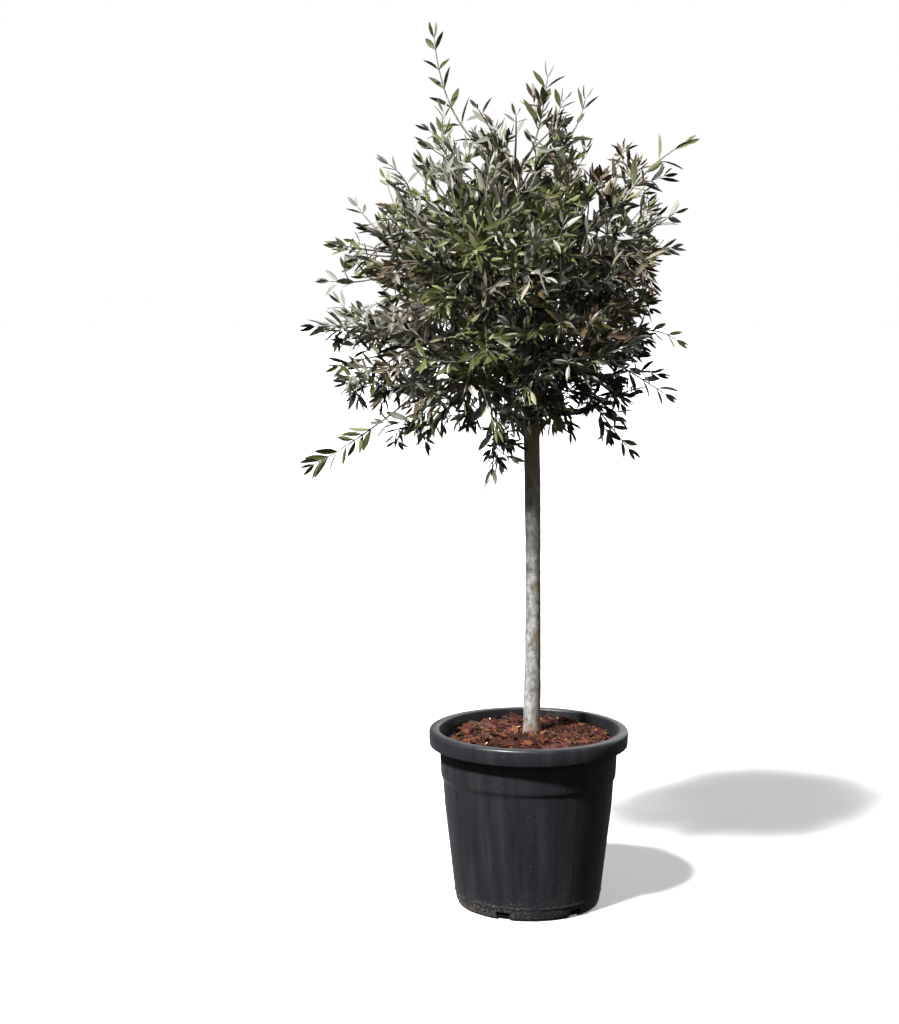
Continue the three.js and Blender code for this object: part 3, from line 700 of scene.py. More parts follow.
masses = []
for tier in MASS_TIERS:
    for i in range(tier["count"]):
        azimuth = tier["first"] + 360 / tier["count"] * i
        outward = direction(azimuth, 0)
        bough = BOUGH_TIERS[tier["name"]]
        root = np.array([TRUNK_TOP_X, 0, bough["z"] + bough["rise"] * ((i * 2) % 5)])
        tip = HUB * (1, 1, 0) + outward * bough["tip_out"] + (0, 0, bough["tip_z"])
        bend = root + (tip - root) * BOUGH_OUT
        bend[2] = root[2] + (tip[2] - root[2]) * BOUGH_UP
        limb = Arc(root, bend, tip)
        core = HUB * (1, 1, 0) + outward * tier["out"] + (0, 0, tier["z"])
        stem_root, way = tip, limb.along(1)
        stem_end = core + unit(core - HEAD) * tier["core"] * STEM_REACH
        stem_bend = stem_root + way * np.dot(core - stem_root, way)
        number = "_" + str(i + 1) if tier["count"] > 1 else ""
        masses.append({
            "name": tier["name"] + number,
            "home": direction(azimuth, tier["elevation"]),
            "bough": limb,
            "radii": (bough["root"], bough["tip"]),
            "stem": Arc(stem_root, stem_bend, stem_end),
            "shoots": [],
        })
print(len(masses), "masses of foliage")

# %% [markdown]
# Sixteen long shoots stand out of the head where the photo shows them, one of them towards the viewer. The
# rest are spread evenly over a ball. A shoot belongs to the mass whose own direction is nearest to its tip.
# It leaves the stem some way back, runs along it first, and then turns out to its tip.

# %% Main shoots
LAST_LEAF = 26  # mm from the end of a shoot to the tip of its last leaf
AIM_SWING = 10  # degrees of chance in the azimuth of a lattice shoot
START_CHANCE = 0.12  # of the stem, in where a shoot leaves it
SHOOT_OUT, SHOOT_ALONG = 0.3, 0.16  # of a shoot's own run, to its bend


def in_front_view(angle, reach, depth):
    """A point about the head's middle, by its angle and reach as seen from the front."""
    a = math.radians(angle)
    return HEAD + np.array([math.cos(a) * reach, depth, math.sin(a) * reach])


tips = [
    (in_front_view(angle, reach, depth), in_front_view(bend, out, depth * out / reach))
    for angle, reach, bend, out, depth in LONG_SHOOTS
]
long_aims = np.array([unit(tip - HEAD) for tip, bend in tips])
draw = seeded(SEED + 1)
for k in range(LATTICE_SHOOTS):
    elevation = math.degrees(math.asin(1 - 2 * (k + 0.5) / LATTICE_SHOOTS))
    aim = direction(k * GOLDEN_ANGLE + (draw() - 0.5) * AIM_SWING, elevation)
    reach = SHOOT_REACH + SHOOT_SPREAD * draw() ** 1.4
    crowded = (long_aims @ aim).max() > math.cos(math.radians(LONG_SHOOT_ROOM))
    if elevation > LOWEST_ELEVATION and not crowded:
        tips.append((HEAD + aim * reach, None))

homes = np.array([mass["home"] for mass in masses])
for tip, bend in tips:
    masses[int(np.argmax(homes @ unit(tip - HUB)))]["shoots"].append((tip, bend))

shoots = []
for index, mass in enumerate(masses):
    draw = seeded(SEED * 100 + index)
    for i in range(CORE_NUMBERS):
        draw()
    stem = mass["stem"]
    chord = stem.tip - stem.root
    stem_length = np.linalg.norm(chord)
    for tip, bend in mass["shoots"]:
        to_tip = tip - stem.root
        along = np.dot(to_tip, chord) / stem_length
        aside = math.sqrt(max(0, np.dot(to_tip, to_tip) - along * along))
        start = (along - DEPARTURE * aside) / stem_length + (draw() - 0.5) * START_CHANCE
        u = min(max(start, 0.2 + 0.25 * draw()), 0.97)
        root = stem.at(u)
        line = tip - root
        middle = bend
        if bend is None:
            middle = root + line * SHOOT_OUT + stem.along(u) * np.linalg.norm(line) * SHOOT_ALONG
        end = tip - unit(tip - middle) * LAST_LEAF
        shoots.append(Arc(root, middle, end))
print(len(masses), "masses carry", len(shoots), "shoots")

# %% [markdown]
# The trunk is about as thick as a broom handle, with a flare where it meets the compost. It is thrown like
# the pot, but each ring also has its own place along X, because the real one isn't quite straight. The boughs
# and stems are curves with a round bevel that thins towards the tip, turned into meshes. All of it is joined
# and remeshed into one skin, so that each bough grows out of the trunk with a collar and no seam.

# %% Trunk and boughs
TRUNK_STATIONS = [  # height, sideways place and radius in mm
    (240.3, 5.0, 17.9), (246, 5.0, 16.6), (252, 5.0, 15.6), (260, 5.0, 14.3), (270, 5.0, 13.5),
    (310, 5.4, 12.7), (372, 6.0, 12.0), (436, 6.2, 11.5), (500, 5.8, 11.4), (560, 5.4, 11.5),
    (612, 4.6, 11.7), (660, 3.8, 12.0), (692, 3.2, 12.1), (722, 2.6, 12.1), (775, 1.6, 10.4),
    (812, 1.1, 7.6), (822, 1.0, 6.7),
]
TRUNK_SIDES = 40
STEM_END_RADIUS = 1.7
LIMB_POINTS = 14
SKIN_VOXEL = 1.35 * MM
COLLAR, COLLAR_FADE = 0.5, 9  # of a bough's radius more at its root, and how soon that is gone

bark_skin = thrown("bark_skin", [(radius, z, x) for z, x, radius in TRUNK_STATIONS], TRUNK_SIDES)
nothing_selected()
shares = np.linspace(0, 1, LIMB_POINTS)
collar = 1 + COLLAR * np.exp(-shares * COLLAR_FADE)
for mass in masses:
    curve = bpy.data.curves.new("limb", "CURVE")
    curve.dimensions = "3D"
    curve.bevel_depth = MM
    curve.bevel_resolution = 4
    curve.use_fill_caps = True
    points = np.concatenate([mass["bough"].at(shares), mass["stem"].at(shares[1:])])
    root_radius, tip_radius = mass["radii"]
    radii = (root_radius + (tip_radius - root_radius) * shares) * collar
    radii = np.concatenate([radii, tip_radius + (STEM_END_RADIUS - tip_radius) * shares[1:]])
    spline = curve.splines.new("POLY")
    spline.points.add(len(points) - 1)
    spline.points.foreach_set("co", np.c_[points * MM, np.ones(len(points))].ravel())
    spline.points.foreach_set("radius", radii)
    limb = bpy.data.objects.new("limb", curve)
    bpy.context.collection.objects.link(limb)
    limb.select_set(True)
    bpy.context.view_layer.objects.active = limb
bpy.ops.object.convert(target="MESH")
bark_skin.select_set(True)
bpy.context.view_layer.objects.active = bark_skin
bpy.ops.object.join()
apply_modifier(bark_skin, "one skin", "REMESH", mode="VOXEL", voxel_size=SKIN_VOXEL)
apply_modifier(bark_skin, "soft collars", "SMOOTH", factor=0.5, iterations=4)
print("the skin has", len(bark_skin.data.polygons), "faces")

# %% [markdown]
# Young olive bark is smooth but never even: it swells a little round old buds, it is wrinkled across the
# trunk, because the stem thickens faster than its skin, and it has small pores. Three Displace modifiers give
# that relief. Each reads its pattern through an empty that is scaled in height, so that the wrinkles run
# round the trunk, and the empty is removed once its modifier is applied.

# %% Relief of the bark
RELIEF = [  # name, size and height in mm, and how far the pattern is drawn out along the trunk
    ("swellings", 30, 1.5, 1.3), ("wrinkles", 8, 0.5, 0.3), ("pores", 3.2, 0.45, 0.8),
]
RELIEF_DETAIL = 3

for name, size, height, drawn_out in RELIEF:
    bpy.ops.object.empty_add(location=(0, 0, 0))
    scaled = bpy.context.object
    scaled.scale = (1, 1, drawn_out)
    bpy.context.view_layer.update()
    pick(bark_skin)
    where = {"texture_coords": "OBJECT", "texture_coords_object": scaled}
    displaced(bark_skin, name, size, height, RELIEF_DETAIL, **where)
    bpy.data.objects.remove(scaled)
bpy.ops.object.shade_smooth()
print("the relief has", len(RELIEF), "layers")

# %% [markdown]
# The bark itself is silvery grey and blotchy, where thin scales of the outer skin have lifted or washed off,
# with fine dark cracks across it, and buds were rubbed off in two brownish places. An olive tint on the right
# side is painted shade, and a red-brown tint at the foot is painted light, as thrown back by the bark chips.
# Higher up it is painted greyer and darker, as the head's shade, and just below the head it turns olive
# brown, partly its own colour and partly painted shade. The blotches and cracks are noise, one drawn out
# along the trunk and one squashed. Each tint has a range of heights, made ragged by more noise.

# %% Finish: young olive bark
BLOTCH_SIZE = 10 * MM
CRACK_HEIGHT = 3 * MM
PATCH_SIZE = 20 * MM
RAGGED = 0.06  # metres that the noise may shift a tint's edge
# painted shade: an olive tint darkens the right side, away from the key light
RIGHT_SIDE_SHADE = (0.007, 0.017)  # metres to the right, from none of it to most of it
RUBBED_HEIGHTS = [0.409, 0.487]  # metres, and each place is on the right side
RUBBED_WIDENS = 1.6  # in height, for each metre to the right
RUBBED_EDGE = 0.014
PAINTED_BOUNCE_AND_SHADE_TINTS = [  # colour, heights in metres from none of it to most of it, and the most of it
    # painted light: a red-brown glow at the foot, thrown back by the chips
    ("#8A6248", (0.287, 0.262), 0.7),
    # painted shade: greyer and darker up the trunk, in the shade of the head
    ("#9A978E", (0.52, 0.57), 0.4),
    # olive brown below the head, partly the bark's own colour and partly painted shade
    ("#9C936C", (0.6, 0.68), 0.86),
]

olive_bark, tree, place = new_finish("young_olive_bark")
axes = add(tree, "ShaderNodeSeparateXYZ", {"Vector": place}).outputs
tall = add(tree, "ShaderNodeMapping", {"Vector": place, "Scale": (1, 1, 0.6)}).outputs[0]
scaly = {"Vector": tall, "Scale": 1 / BLOTCH_SIZE, "Detail": 8, "Roughness": 0.7}
greys = [(0.33, "#55534C"), (0.44, "#86847E"), (0.55, "#AFADA9"), (0.68, "#D2D0CC")]
blotches, tint = mottled(tree, scaly, *greys)
flat = add(tree, "ShaderNodeMapping", {"Vector": place, "Scale": (0.28, 0.28, 1)}).outputs[0]
cracked = {"Vector": flat, "Scale": 1 / CRACK_HEIGHT, "Detail": 6, "Roughness": 0.65}
cracks = add(tree, "ShaderNodeTexNoise", cracked).outputs["Fac"]
patches = add(tree, "ShaderNodeTexNoise", {"Vector": place, "Scale": 1 / PATCH_SIZE, "Detail": 5})
shift = add(tree, "ShaderNodeMath", {0: patches.outputs["Fac"], 1: 0.5}, operation="SUBTRACT").outputs[0]
shifted = {0: shift, 1: RAGGED, 2: axes["Z"]}
ragged = add(tree, "ShaderNodeMath", shifted, operation="MULTIPLY_ADD").outputs[0]

tint = tinted(tree, tint, cracks, 0.41, 0.34, 0.7, "#55514A")
# painted shade on the right side
tint = tinted(tree, tint, axes["X"], *RIGHT_SIDE_SHADE, 0.5, "#6F6A58")
for level in RUBBED_HEIGHTS:
    above = add(tree, "ShaderNodeMath", {0: ragged, 1: level}, operation="SUBTRACT").outputs[0]
    away = add(tree, "ShaderNodeMath", {0: above}, operation="ABSOLUTE").outputs[0]
    spread = {0: axes["X"], 1: -RUBBED_WIDENS, 2: away}
    rubbed = add(tree, "ShaderNodeMath", spread, operation="MULTIPLY_ADD").outputs[0]
    tint = tinted(tree, tint, rubbed, 0.0, -RUBBED_EDGE, 0.75, "#7C6648")
# painted light and shade by height: bounce at the foot, the head's shade above
for code, heights, most in PAINTED_BOUNCE_AND_SHADE_TINTS:
    tint = tinted(tree, tint, ragged, *heights, most, code)
surface(tree, {"Base Color": tint, "Roughness": 0.78}, blotches, 0.5, 0.9 * MM)
finished(bark_skin, [olive_bark], ["trunk"] + ["bough_" + mass["name"] for mass in masses])

# %% [markdown]
# A real shoot branches again, and its leaves stand in pairs, each pair turned a quarter from the last. A node
# is the place of such a pair: its point, the way the shoot runs there, the side that the pair spreads to, and
# the run that is left to the tip. A side shoot leaves a node at an angle and then bends along with its
# parent.

# %% Side shoots and leaf places
PITCH = 14.5  # mm between pairs of leaves
LONG_PITCH = 21  # and on the shoots that stand out of the head
SWEEP_PITCH = 15  # and on the low sweep at the left, which has the largest leaves, all near its tip
SWEEP_PAIRS = 7
FAR_PITCH = 0.05  # more between pairs for each millimetre that a shoot stands out
TIP_ROOM = 0.6  # of a pitch, from the last pair to the end of the shoot
SIDE_ANGLE, SIDE_SWING = 42, 9  # degrees, and the chance in them
SIDE_FOOT = 15  # mm from a side shoot's foot to its first pair
MAIN_FOOT = 36
SIDE_SHORTEST, SIDE_GAIN, SIDE_LONGEST = 20, 0.3, 58  # mm, and mm for each that is left to the tip
SIDE_SHARE = 0.2  # of the axils that carry a side shoot
GROWTH_SEED = 23

grow = np.random.default_rng(GROWTH_SEED)
LEAN = np.array([0.31, -0.42, 0.85])  # a side is taken square to this and to the shoot
UP = np.array([0, 0, 1.0])


def turned_about(vector, axis, angle):
    """The vector turned about a unit axis, which it stands square to."""
    return vector * math.cos(angle) + np.cross(axis, vector) * math.sin(angle)


def nodes_on(arc, bare_foot, pitch):
    """Places of the pairs on a shoot, from its tip down."""
    roll = grow.uniform(0, math.pi)
    places = []
    for k in range(1 + int((arc.length - bare_foot) / pitch - 0.3)):
        back = (k + TIP_ROOM) * pitch
        t = arc.step_at(arc.length - back)
        along = arc.along(t)
        side = unit(np.cross(LEAN, along))
        side = turned_about(side, along, roll + k * math.pi / 2)
        places.append({"point": arc.at(t), "along": along, "side": side, "back": back})
    return places


def side_shoot(node, way, length):
    """A side shoot that leaves a node at an angle and closes up a little towards its parent's way."""
    angle = math.radians(SIDE_ANGLE + grow.uniform(-SIDE_SWING, SIDE_SWING))
    out = node["along"] * math.cos(angle) + node["side"] * way * math.sin(angle)
    late = unit(out + node["along"] * 0.45 + grow.normal(0, 0.12, 3))
    bend = node["point"] + out * length * 0.45
    return Arc(node["point"], bend, bend + late * length * 0.55)


all_shoots = [{"arc": arc, "order": 1} for arc in shoots]
for shoot in all_shoots:
    standing_out = np.linalg.norm(shoot["arc"].tip - HEAD) + LAST_LEAF - SHOOT_REACH
    shoot["pitch"] = LONG_PITCH + FAR_PITCH * standing_out
sweep = min(all_shoots, key=lambda shoot: shoot["arc"].tip[0] + shoot["arc"].tip[2])
sweep["pitch"] = SWEEP_PITCH
print("the low sweep is", round(sweep["arc"].length), "mm long")

# %% [markdown]
# The head isn't an even ball. It reaches further at the lower left, where it bulges forwards too, and less at
# the upper left. It is hollowed where the sun comes in under it to the trunk, and round each main shoot the
# leaves follow that shoot out in a tuft, which gives the outline its feathers. The photo also shows sky
# through it in thirty small places, and these stay open from the camera.

# %% The head's edge and its openings
EVEN_REACH = 208  # mm from the head's middle, straight towards the viewer and away
FRONT_ANGLES = [15, 45, 75, 105, 135, 165, 195, 225, 255, 285, 315, 345]  # degrees, in the front view
FRONT_REACHES = [200, 206, 214, 184, 188, 174, 236, 308, 230, 228, 220, 198]  # mm
TUFT = 11  # degrees round a main shoot
TUFT_SHORT = 12  # mm that a tuft ends before its shoot does
TUFT_FAR = 285  # mm, and no further than this
HOLLOW_WAY = np.array([-0.41, -0.67, -0.62])
HOLLOW_WIDE, HOLLOW_DEEP = 34, 60  # degrees from the middle to its edge, and mm in the middle
BULGE_WAY = np.array([-0.79, -0.33, -0.52])
BULGE_WIDE, BULGE_HIGH = 30, 34
OPENINGS = [  # right of the head's middle, above it and radius in mm, as the camera sees them
    (-214, -17, 16), (130, 183, 13), (-205, 54, 9), (23, 183, 10), (-177, 121, 9), (225, -3, 9),
    (-206, 88, 8), (47, 207, 9), (182, 94, 7), (-49, 170, 8), (-108, 179, 7), (28, 222, 6),
    (-100, 133, 7), (-135, 140, 7), (-76, 209, 6), (3, 192, 7), (23, 149, 6), (115, 96, 6),
    (-183, 35, 6), (-154, 148, 6), (138, -165, 4), (-60, 149, 7), (145, -132, 4), (123, 109, 6),
    (-175, -20, 5), (-111, 118, 5), (-101, -125, 4), (-92, 102, 4), (133, 65, 4), (3, 68, 3),
]
TWIG_SHARES = np.linspace(0.25, 1, 7)  # of a twig, that keep clear of the openings

eye = np.array(CAMERA_PLACE) / MM
openings = np.array(OPENINGS)

main_ways = np.array([unit(shoot["arc"].tip - HEAD) for shoot in all_shoots])
main_reaches = np.array([np.linalg.norm(shoot["arc"].tip - HEAD) for shoot in all_shoots])


def nearness(way, middle, wide):
    """1 at the middle of a round patch of directions, falling to 0 at its edge."""
    off = math.degrees(math.acos(max(-1, min(1, way @ middle))))
    return max(0, 1 - off / wide)


def head_edge(way):
    """How far the head is closed in a direction, in millimetres from its middle."""
    angle = math.degrees(math.atan2(way[2], way[0]))
    level = np.interp(angle, FRONT_ANGLES, FRONT_REACHES, period=360)
    edge = EVEN_REACH + (level - EVEN_REACH) * (way[0] ** 2 + way[2] ** 2)
    straight = main_ways @ way
    nearest = int(np.argmax(straight))
    off = math.degrees(math.acos(min(1, straight[nearest])))
    room = max(0, min(main_reaches[nearest] - TUFT_SHORT, TUFT_FAR) - edge)
    hollow = HOLLOW_DEEP * nearness(way, HOLLOW_WAY, HOLLOW_WIDE)
    bulge = BULGE_HIGH * nearness(way, BULGE_WAY, BULGE_WIDE)
    return edge + room * math.exp(-((off / TUFT) ** 2)) - hollow + bulge


def in_an_opening(points):
    """True for the points in mm that the camera sees within an opening."""
    sight = points - eye
    seen = eye + sight * (-eye[1] / sight[..., 1:2]) - HEAD
    off = np.linalg.norm(seen[..., None, [0, 2]] - openings[:, :2], axis=-1)
    return (off < openings[:, 2]).any(axis=-1)


print("the head stays open in", len(openings), "places")

# %% [markdown]
# To close the head evenly, many aims are spread through it and taken from the inside out. For each one
# the best placed wood behind it sends out a side shoot that ends there: near by, and with its way already
# turned the way that this aim wishes, which is outwards and a little up, with a good deal of chance. So no
# part of the head stays bare and no part is crowded. It is how growth evens out on a real tree, where a bud
# breaks if it has light.

# %% Fill the head
AIMS = 2600
AIM_NEAREST = 60  # mm from the head's middle
AIM_STEPS = (0.7548776662, 0.5698402910)  # which spread points evenly over a square
AIM_CROWDING = 0.62  # below 1, more of the aims lie further out
AIM_SCATTER = 7  # mm
TURN_COST, WISH_COST = 0.5, 0.6  # how much a good way counts against a near place
LEAVING, TURNING = 0.25, 0.3  # of the distance, along the wood and towards the aim, to the bend
AIM_ROOM = (24, 120)  # shortest and longest side shoot in mm
WOOD_STEPS = 9
RISE, CHANCE = 0.35, 0.5  # of an aim's wish, against 1 for outwards


def wood_of(arc, order):
    """Points along a curve with the way it runs there, for new shoots to leave it."""
    shares = np.linspace(0.12, 0.86, WOOD_STEPS)
    return [(arc.at(t), arc.along(t), order) for t in shares]


wood = []
for mass in masses:
    wood += wood_of(mass["bough"], 0) + wood_of(mass["stem"], 0)
for shoot in all_shoots:
    wood += wood_of(shoot["arc"], 1)
aims = []
for k in range(AIMS):
    height_share, spread = 1 - 2 * ((k * AIM_STEPS[0]) % 1), (k * AIM_STEPS[1]) % 1
    way = direction(k * GOLDEN_ANGLE, math.degrees(math.asin(height_share)))
    reach = AIM_NEAREST + (head_edge(way) - AIM_NEAREST) * spread**AIM_CROWDING
    aims.append(HEAD + way * reach + grow.normal(0, AIM_SCATTER, 3))
aims.sort(key=lambda aim: np.linalg.norm(aim - HEAD))
wood_points, wood_ways, wood_orders = (np.array(column) for column in zip(*wood))
for aim in aims:
    line = aim - wood_points
    distance = np.linalg.norm(line, axis=1)
    straight = (line * wood_ways).sum(axis=1) / distance
    wish = unit(unit(aim - HUB) + UP * RISE + grow.normal(0, CHANCE, 3))
    outward = line @ wish / distance
    cost = distance * (2.0 - TURN_COST * straight - WISH_COST * outward)
    cost[(distance < AIM_ROOM[0]) | (distance > AIM_ROOM[1]) | (straight < -0.1)] = np.inf
    best = int(np.argmin(cost))
    if not np.isfinite(cost[best]):
        continue
    root, way, order = wood_points[best], wood_ways[best], wood_orders[best]
    bend = root + (way * LEAVING + line[best] / distance[best] * TURNING) * distance[best]
    order = int(min(order + 1, 3))
    arc = Arc(root, bend, aim)
    if in_an_opening(arc.at(TWIG_SHARES)).any():
        continue
    all_shoots.append({"arc": arc, "order": order, "pitch": PITCH})
    grown = wood_of(arc, order)
    wood_points = np.concatenate([wood_points, [w[0] for w in grown]])
    wood_ways = np.concatenate([wood_ways, [w[1] for w in grown]])
    wood_orders = np.concatenate([wood_orders, [order] * len(grown)])
print(len(all_shoots), "shoots, main and side")

# %% [markdown]
# Every shoot now gets the places of its leaves. Of the axils on the first two orders, some carry one more
# twig, chosen at random, if it ends no more than a little past the head's edge and keeps clear of the
# openings.

# %% Leaf places and random twigs
TWIG_OVER = 8  # mm that a random twig may pass the edge

for shoot in list(all_shoots):
    foot = MAIN_FOOT if shoot["order"] == 1 else SIDE_FOOT
    shoot["nodes"] = nodes_on(shoot["arc"], foot, shoot["pitch"])
    if shoot is sweep:
        shoot["nodes"] = shoot["nodes"][:SWEEP_PAIRS]
    if shoot["order"] > 2:
        continue
    for node in shoot["nodes"][1:]:
        for way in (1, -1):
            length = min(SIDE_LONGEST, SIDE_SHORTEST + SIDE_GAIN * node["back"])
            length *= grow.uniform(0.65, 1.15)
            branch = side_shoot(node, way, length)
            reach = np.linalg.norm(branch.tip - HEAD)
            edge = head_edge(unit(branch.tip - HEAD))
            shut = in_an_opening(branch.at(TWIG_SHARES)).any()
            if grow.uniform() < SIDE_SHARE and reach < edge + TWIG_OVER and not shut:
                twig = {"arc": branch, "order": 3, "pitch": PITCH}
                twig["nodes"] = nodes_on(branch, SIDE_FOOT, PITCH)
                all_shoots.append(twig)
print([sum(s["order"] == n for s in all_shoots) for n in (1, 2, 3)], "shoots of each order")

# %% [markdown]
# The twigs are tapered tubes, made together from arrays with five sides each. Olive twigs are pale grey, and
# the youngest are greener, so they are two pieces with two finishes.

# %% The twigs
TWIG_SIDES = 5
TWIG_RADII = {1: (2.1, 0.8), 2: (1.1, 0.6), 3: (0.8, 0.5)}  # mm, for each order of shoot
TWIG_STEPS = {1: 12, 2: 6, 3: 4}
TWIG_FINISHES = [  # name, dark and light colour, and the orders of the shoots that wear it
    ("grey_olive_twig", "#6E6A60", "#A8A498", (1,)),
    ("young_olive_twig", "#7E7D68", "#B4B29C", (2, 3)),
]
MOTTLE = 3 * MM


def tubes(rows, sides):
    """Vertices and faces of many tapered tubes. Each row is a curve, its two radii and its steps."""
    vertices, faces, base = [], [], 0
    around = np.linspace(0, 2 * np.pi, sides, endpoint=False)
    for arc, (thick, thin), steps in rows:
        t = np.linspace(0, 1, steps + 1)
        points = arc.at(t)
        ways = np.array([arc.along(v) for v in t])
        first = np.cross(LEAN, ways)
        first /= np.linalg.norm(first, axis=1)[:, None]
        second = np.cross(ways, first)
        radius = thick + (thin - thick) * t
        ring = first[:, None] * np.cos(around)[:, None] + second[:, None] * np.sin(around)[:, None]
        vertices.append((points[:, None] + ring * radius[:, None, None]).reshape(-1, 3))
        for i in range(steps):
            for j in range(sides):
                a, b = base + i * sides + j, base + i * sides + (j + 1) % sides
                faces.append((a, b, b + sides, a + sides))
        faces.append(tuple(range(base + sides - 1, base - 1, -1)))
        faces.append(tuple(range(base + steps * sides, base + (steps + 1) * sides)))
        base += (steps + 1) * sides
    return np.concatenate(vertices), faces


foliage = ["foliage_" + mass["name"] for mass in masses]
for name, dark, light, orders in TWIG_FINISHES:
    material, tree, place = new_finish(name)
    pattern = {"Vector": place, "Scale": 1 / MOTTLE, "Detail": 3}
    tint = mottled(tree, pattern, (0.35, dark), (0.65, light))[1]
    surface(tree, {"Base Color": tint, "Roughness": 0.7})
    grown = [(shoot["arc"], shoot["order"]) for shoot in all_shoots if shoot["order"] in orders]
    rows = [(arc, TWIG_RADII[order], TWIG_STEPS[order]) for arc, order in grown]
    twigs = mesh_piece(name.replace("olive_twig", "twigs"), *tubes(rows, TWIG_SIDES))
    finished(twigs, [material], foliage, crease=80)

# %% [markdown]
# An olive leaf is lance-shaped and leathery, two to five centimetres long here and about four times as long
# as it is wide. Its upper face is dark grey green and slightly waxy, and its underside is silvery with tiny
# scales. Each leaf is a thin closed blade of 32 triangles: it is folded a little along its midrib, bent back
# along its length, and slightly twisted.

# %% Shape of the leaves
LEAF_ROWS = np.array([0.1, 0.35, 0.62, 0.86])  # share of the length
LEAF_HALF = np.array([0.24, 0.92, 0.96, 0.48])  # half width there, as a share of the widest
LEAF_THICK = 0.55  # mm at the midrib


def leaf_template():
    """Faces of one leaf, the upper ones first. Its vertices are a root, four for each row, and a tip."""
    rows = len(LEAF_ROWS)
    tip = 1 + 4 * rows
    upper, under = [], []
    for i in range(rows - 1):
        l0, r0, c0, k0 = (1 + 4 * i + n for n in range(4))
        l1, r1, c1, k1 = (5 + 4 * i + n for n in range(4))
        upper += [(c0, c1, l1), (c0, l1, l0), (r0, r1, c1), (r0, c1, c0)]
        under += [(l0, l1, k1), (l0, k1, k0), (k0, k1, r1), (k0, r1, r0)]
    l1, r1, c1, k1 = (tip - 4 + n for n in range(4))
    upper += [(0, 3, 1), (0, 2, 3), (l1, c1, tip), (c1, r1, tip)]
    under += [(0, 1, 4), (0, 4, 2), (l1, tip, k1), (k1, tip, r1)]
    return np.array(upper + under), np.repeat([0, 1], [len(upper), len(under)])


def leaf_vertices(leaves):
    """Vertices of many leaves at once, as an array of leaf by vertex by place."""
    root, axis, facing = leaves["root"], leaves["axis"], leaves["facing"]
    across = np.cross(facing, axis)
    shares = np.concatenate([[0], LEAF_ROWS, [1]])
    half = np.concatenate([[0], LEAF_HALF, [0]])
    out = []
    for t, h in zip(shares, half):
        along = leaves["length"][:, None] * t
        spine = root + axis * along - facing * along * leaves["curl"][:, None] * t
        twist = leaves["twist"][:, None] * t
        side = across * np.cos(twist) + facing * np.sin(twist)
        up = facing * np.cos(twist) - across * np.sin(twist)
        if h == 0:
            out.append(spine)
            continue
        wide = leaves["width"][:, None] / 2 * h
        edge = wide * np.sin(leaves["fold"])[:, None]
        spread = wide * np.cos(leaves["fold"])[:, None]
        out += [spine + side * spread + up * edge, spine - side * spread + up * edge]
        out += [spine, spine - up * LEAF_THICK]
    return np.stack(out, axis=1)


leaf_faces, leaf_sides = leaf_template()
print("a leaf has", len(leaf_faces), "triangles")

# %% [markdown]
# Each shoot draws one tint for all its leaves, as sprays on the real tree have one: most are dark, olive or
# silvery, and fewer are dusty beige, young and yellow-green, or bronze. Some tints keep together in patches
# on the side that the photo shows. The silvery patches at the upper left, on the key light's side, are
# painted light, and the dark ones at the right and lower right are painted shade. The leaves at a tip are
# smaller, and on some shoots brighter. A blade turns its upper face partly along the shoot and partly up to
# the light.

# %% Places of the leaves
TINTS = ["dark", "olive", "silvery", "dusty", "bright", "bronze"]
TINT_SHARES = [0.29, 0.24, 0.21, 0.1, 0.1, 0.06]
TINT_PATCHES_AND_PAINTED_LIGHT = [  # right of the head's middle, above it and radius in mm, and the tint that keeps together there
    (-30, 42, 42, "bright"), (44, 102, 34, "bright"), (-37, -120, 40, "bright"),
    (-111, -24, 28, "bright"), (229, 198, 40, "bright"), (133, 154, 34, "bronze"),
    (-168, -113, 30, "bronze"), (170, -17, 42, "bronze"), (-163, 20, 24, "bronze"),
    (118, -83, 34, "bronze"), (81, 146, 18, "dusty"), (-300, -270, 60, "bright"),
    # the silvery patches at the upper left are painted light, the dark ones at the right and lower right
    # painted shade
    (-165, -85, 50, "dusty"), (-134, 139, 75, "silvery"), (-60, 190, 50, "silvery"),
    (-230, -40, 60, "silvery"), (110, -10, 40, "dark"), (60, -150, 60, "dark"),
    (190, -150, 60, "dark"), (-110, 350, 60, "olive"),
]
PATCH_DEPTH = 40  # mm behind the head's middle, and a shoot that ends further back is in no patch
PATCH_CHANCE = 0.65
YOUNG_SHARE, LOST_SHARE = 0.1, 0.05  # of the shoots, and of the leaves
LEAF_SIZES = (29, 41)  # mm long
PAIR_SIZES = (0.78, 0.9, 1)  # of the first pair from the tip, the second and the others
LEAF_SLIMNESS = (0.2, 0.29)  # width against length
LARGER = 1.18  # leaves on the shoots that stand out furthest, against the rest
LARGER_PITCH = LONG_PITCH + 3
LEAF_ANGLE, OPENING, SWING = 35, 5, 11  # degrees: at the tip, more for each pair back, and chance
WIDER = 22  # degrees that they spread wider on a shoot towards the viewer, as in the photo's rosettes
LAST_SIDE = 0.42  # how far the last two leaves lean to their side
LEAF_SEED = 31

deal = np.random.default_rng(LEAF_SEED)
leaf_rows = []


def add_leaf(root, axis, facing, length, tint):
    """Notes one leaf. Its upper face looks towards facing as far as its axis allows."""
    facing = unit(facing - axis * np.dot(facing, axis))
    leaf_rows.append({
        "root": root,
        "axis": axis,
        "facing": facing,
        "length": length,
        "width": length * deal.uniform(*LEAF_SLIMNESS),
        "curl": deal.uniform(-0.02, 0.2),
        "twist": deal.normal(0, 0.3),
        "fold": deal.uniform(0.08, 0.42),
        "tint": tint,
    })


# %% [markdown]
# Every node now gets its pair of leaves, apart from a few that are lost, and the end of every shoot gets its
# last two, which close it like a bud.

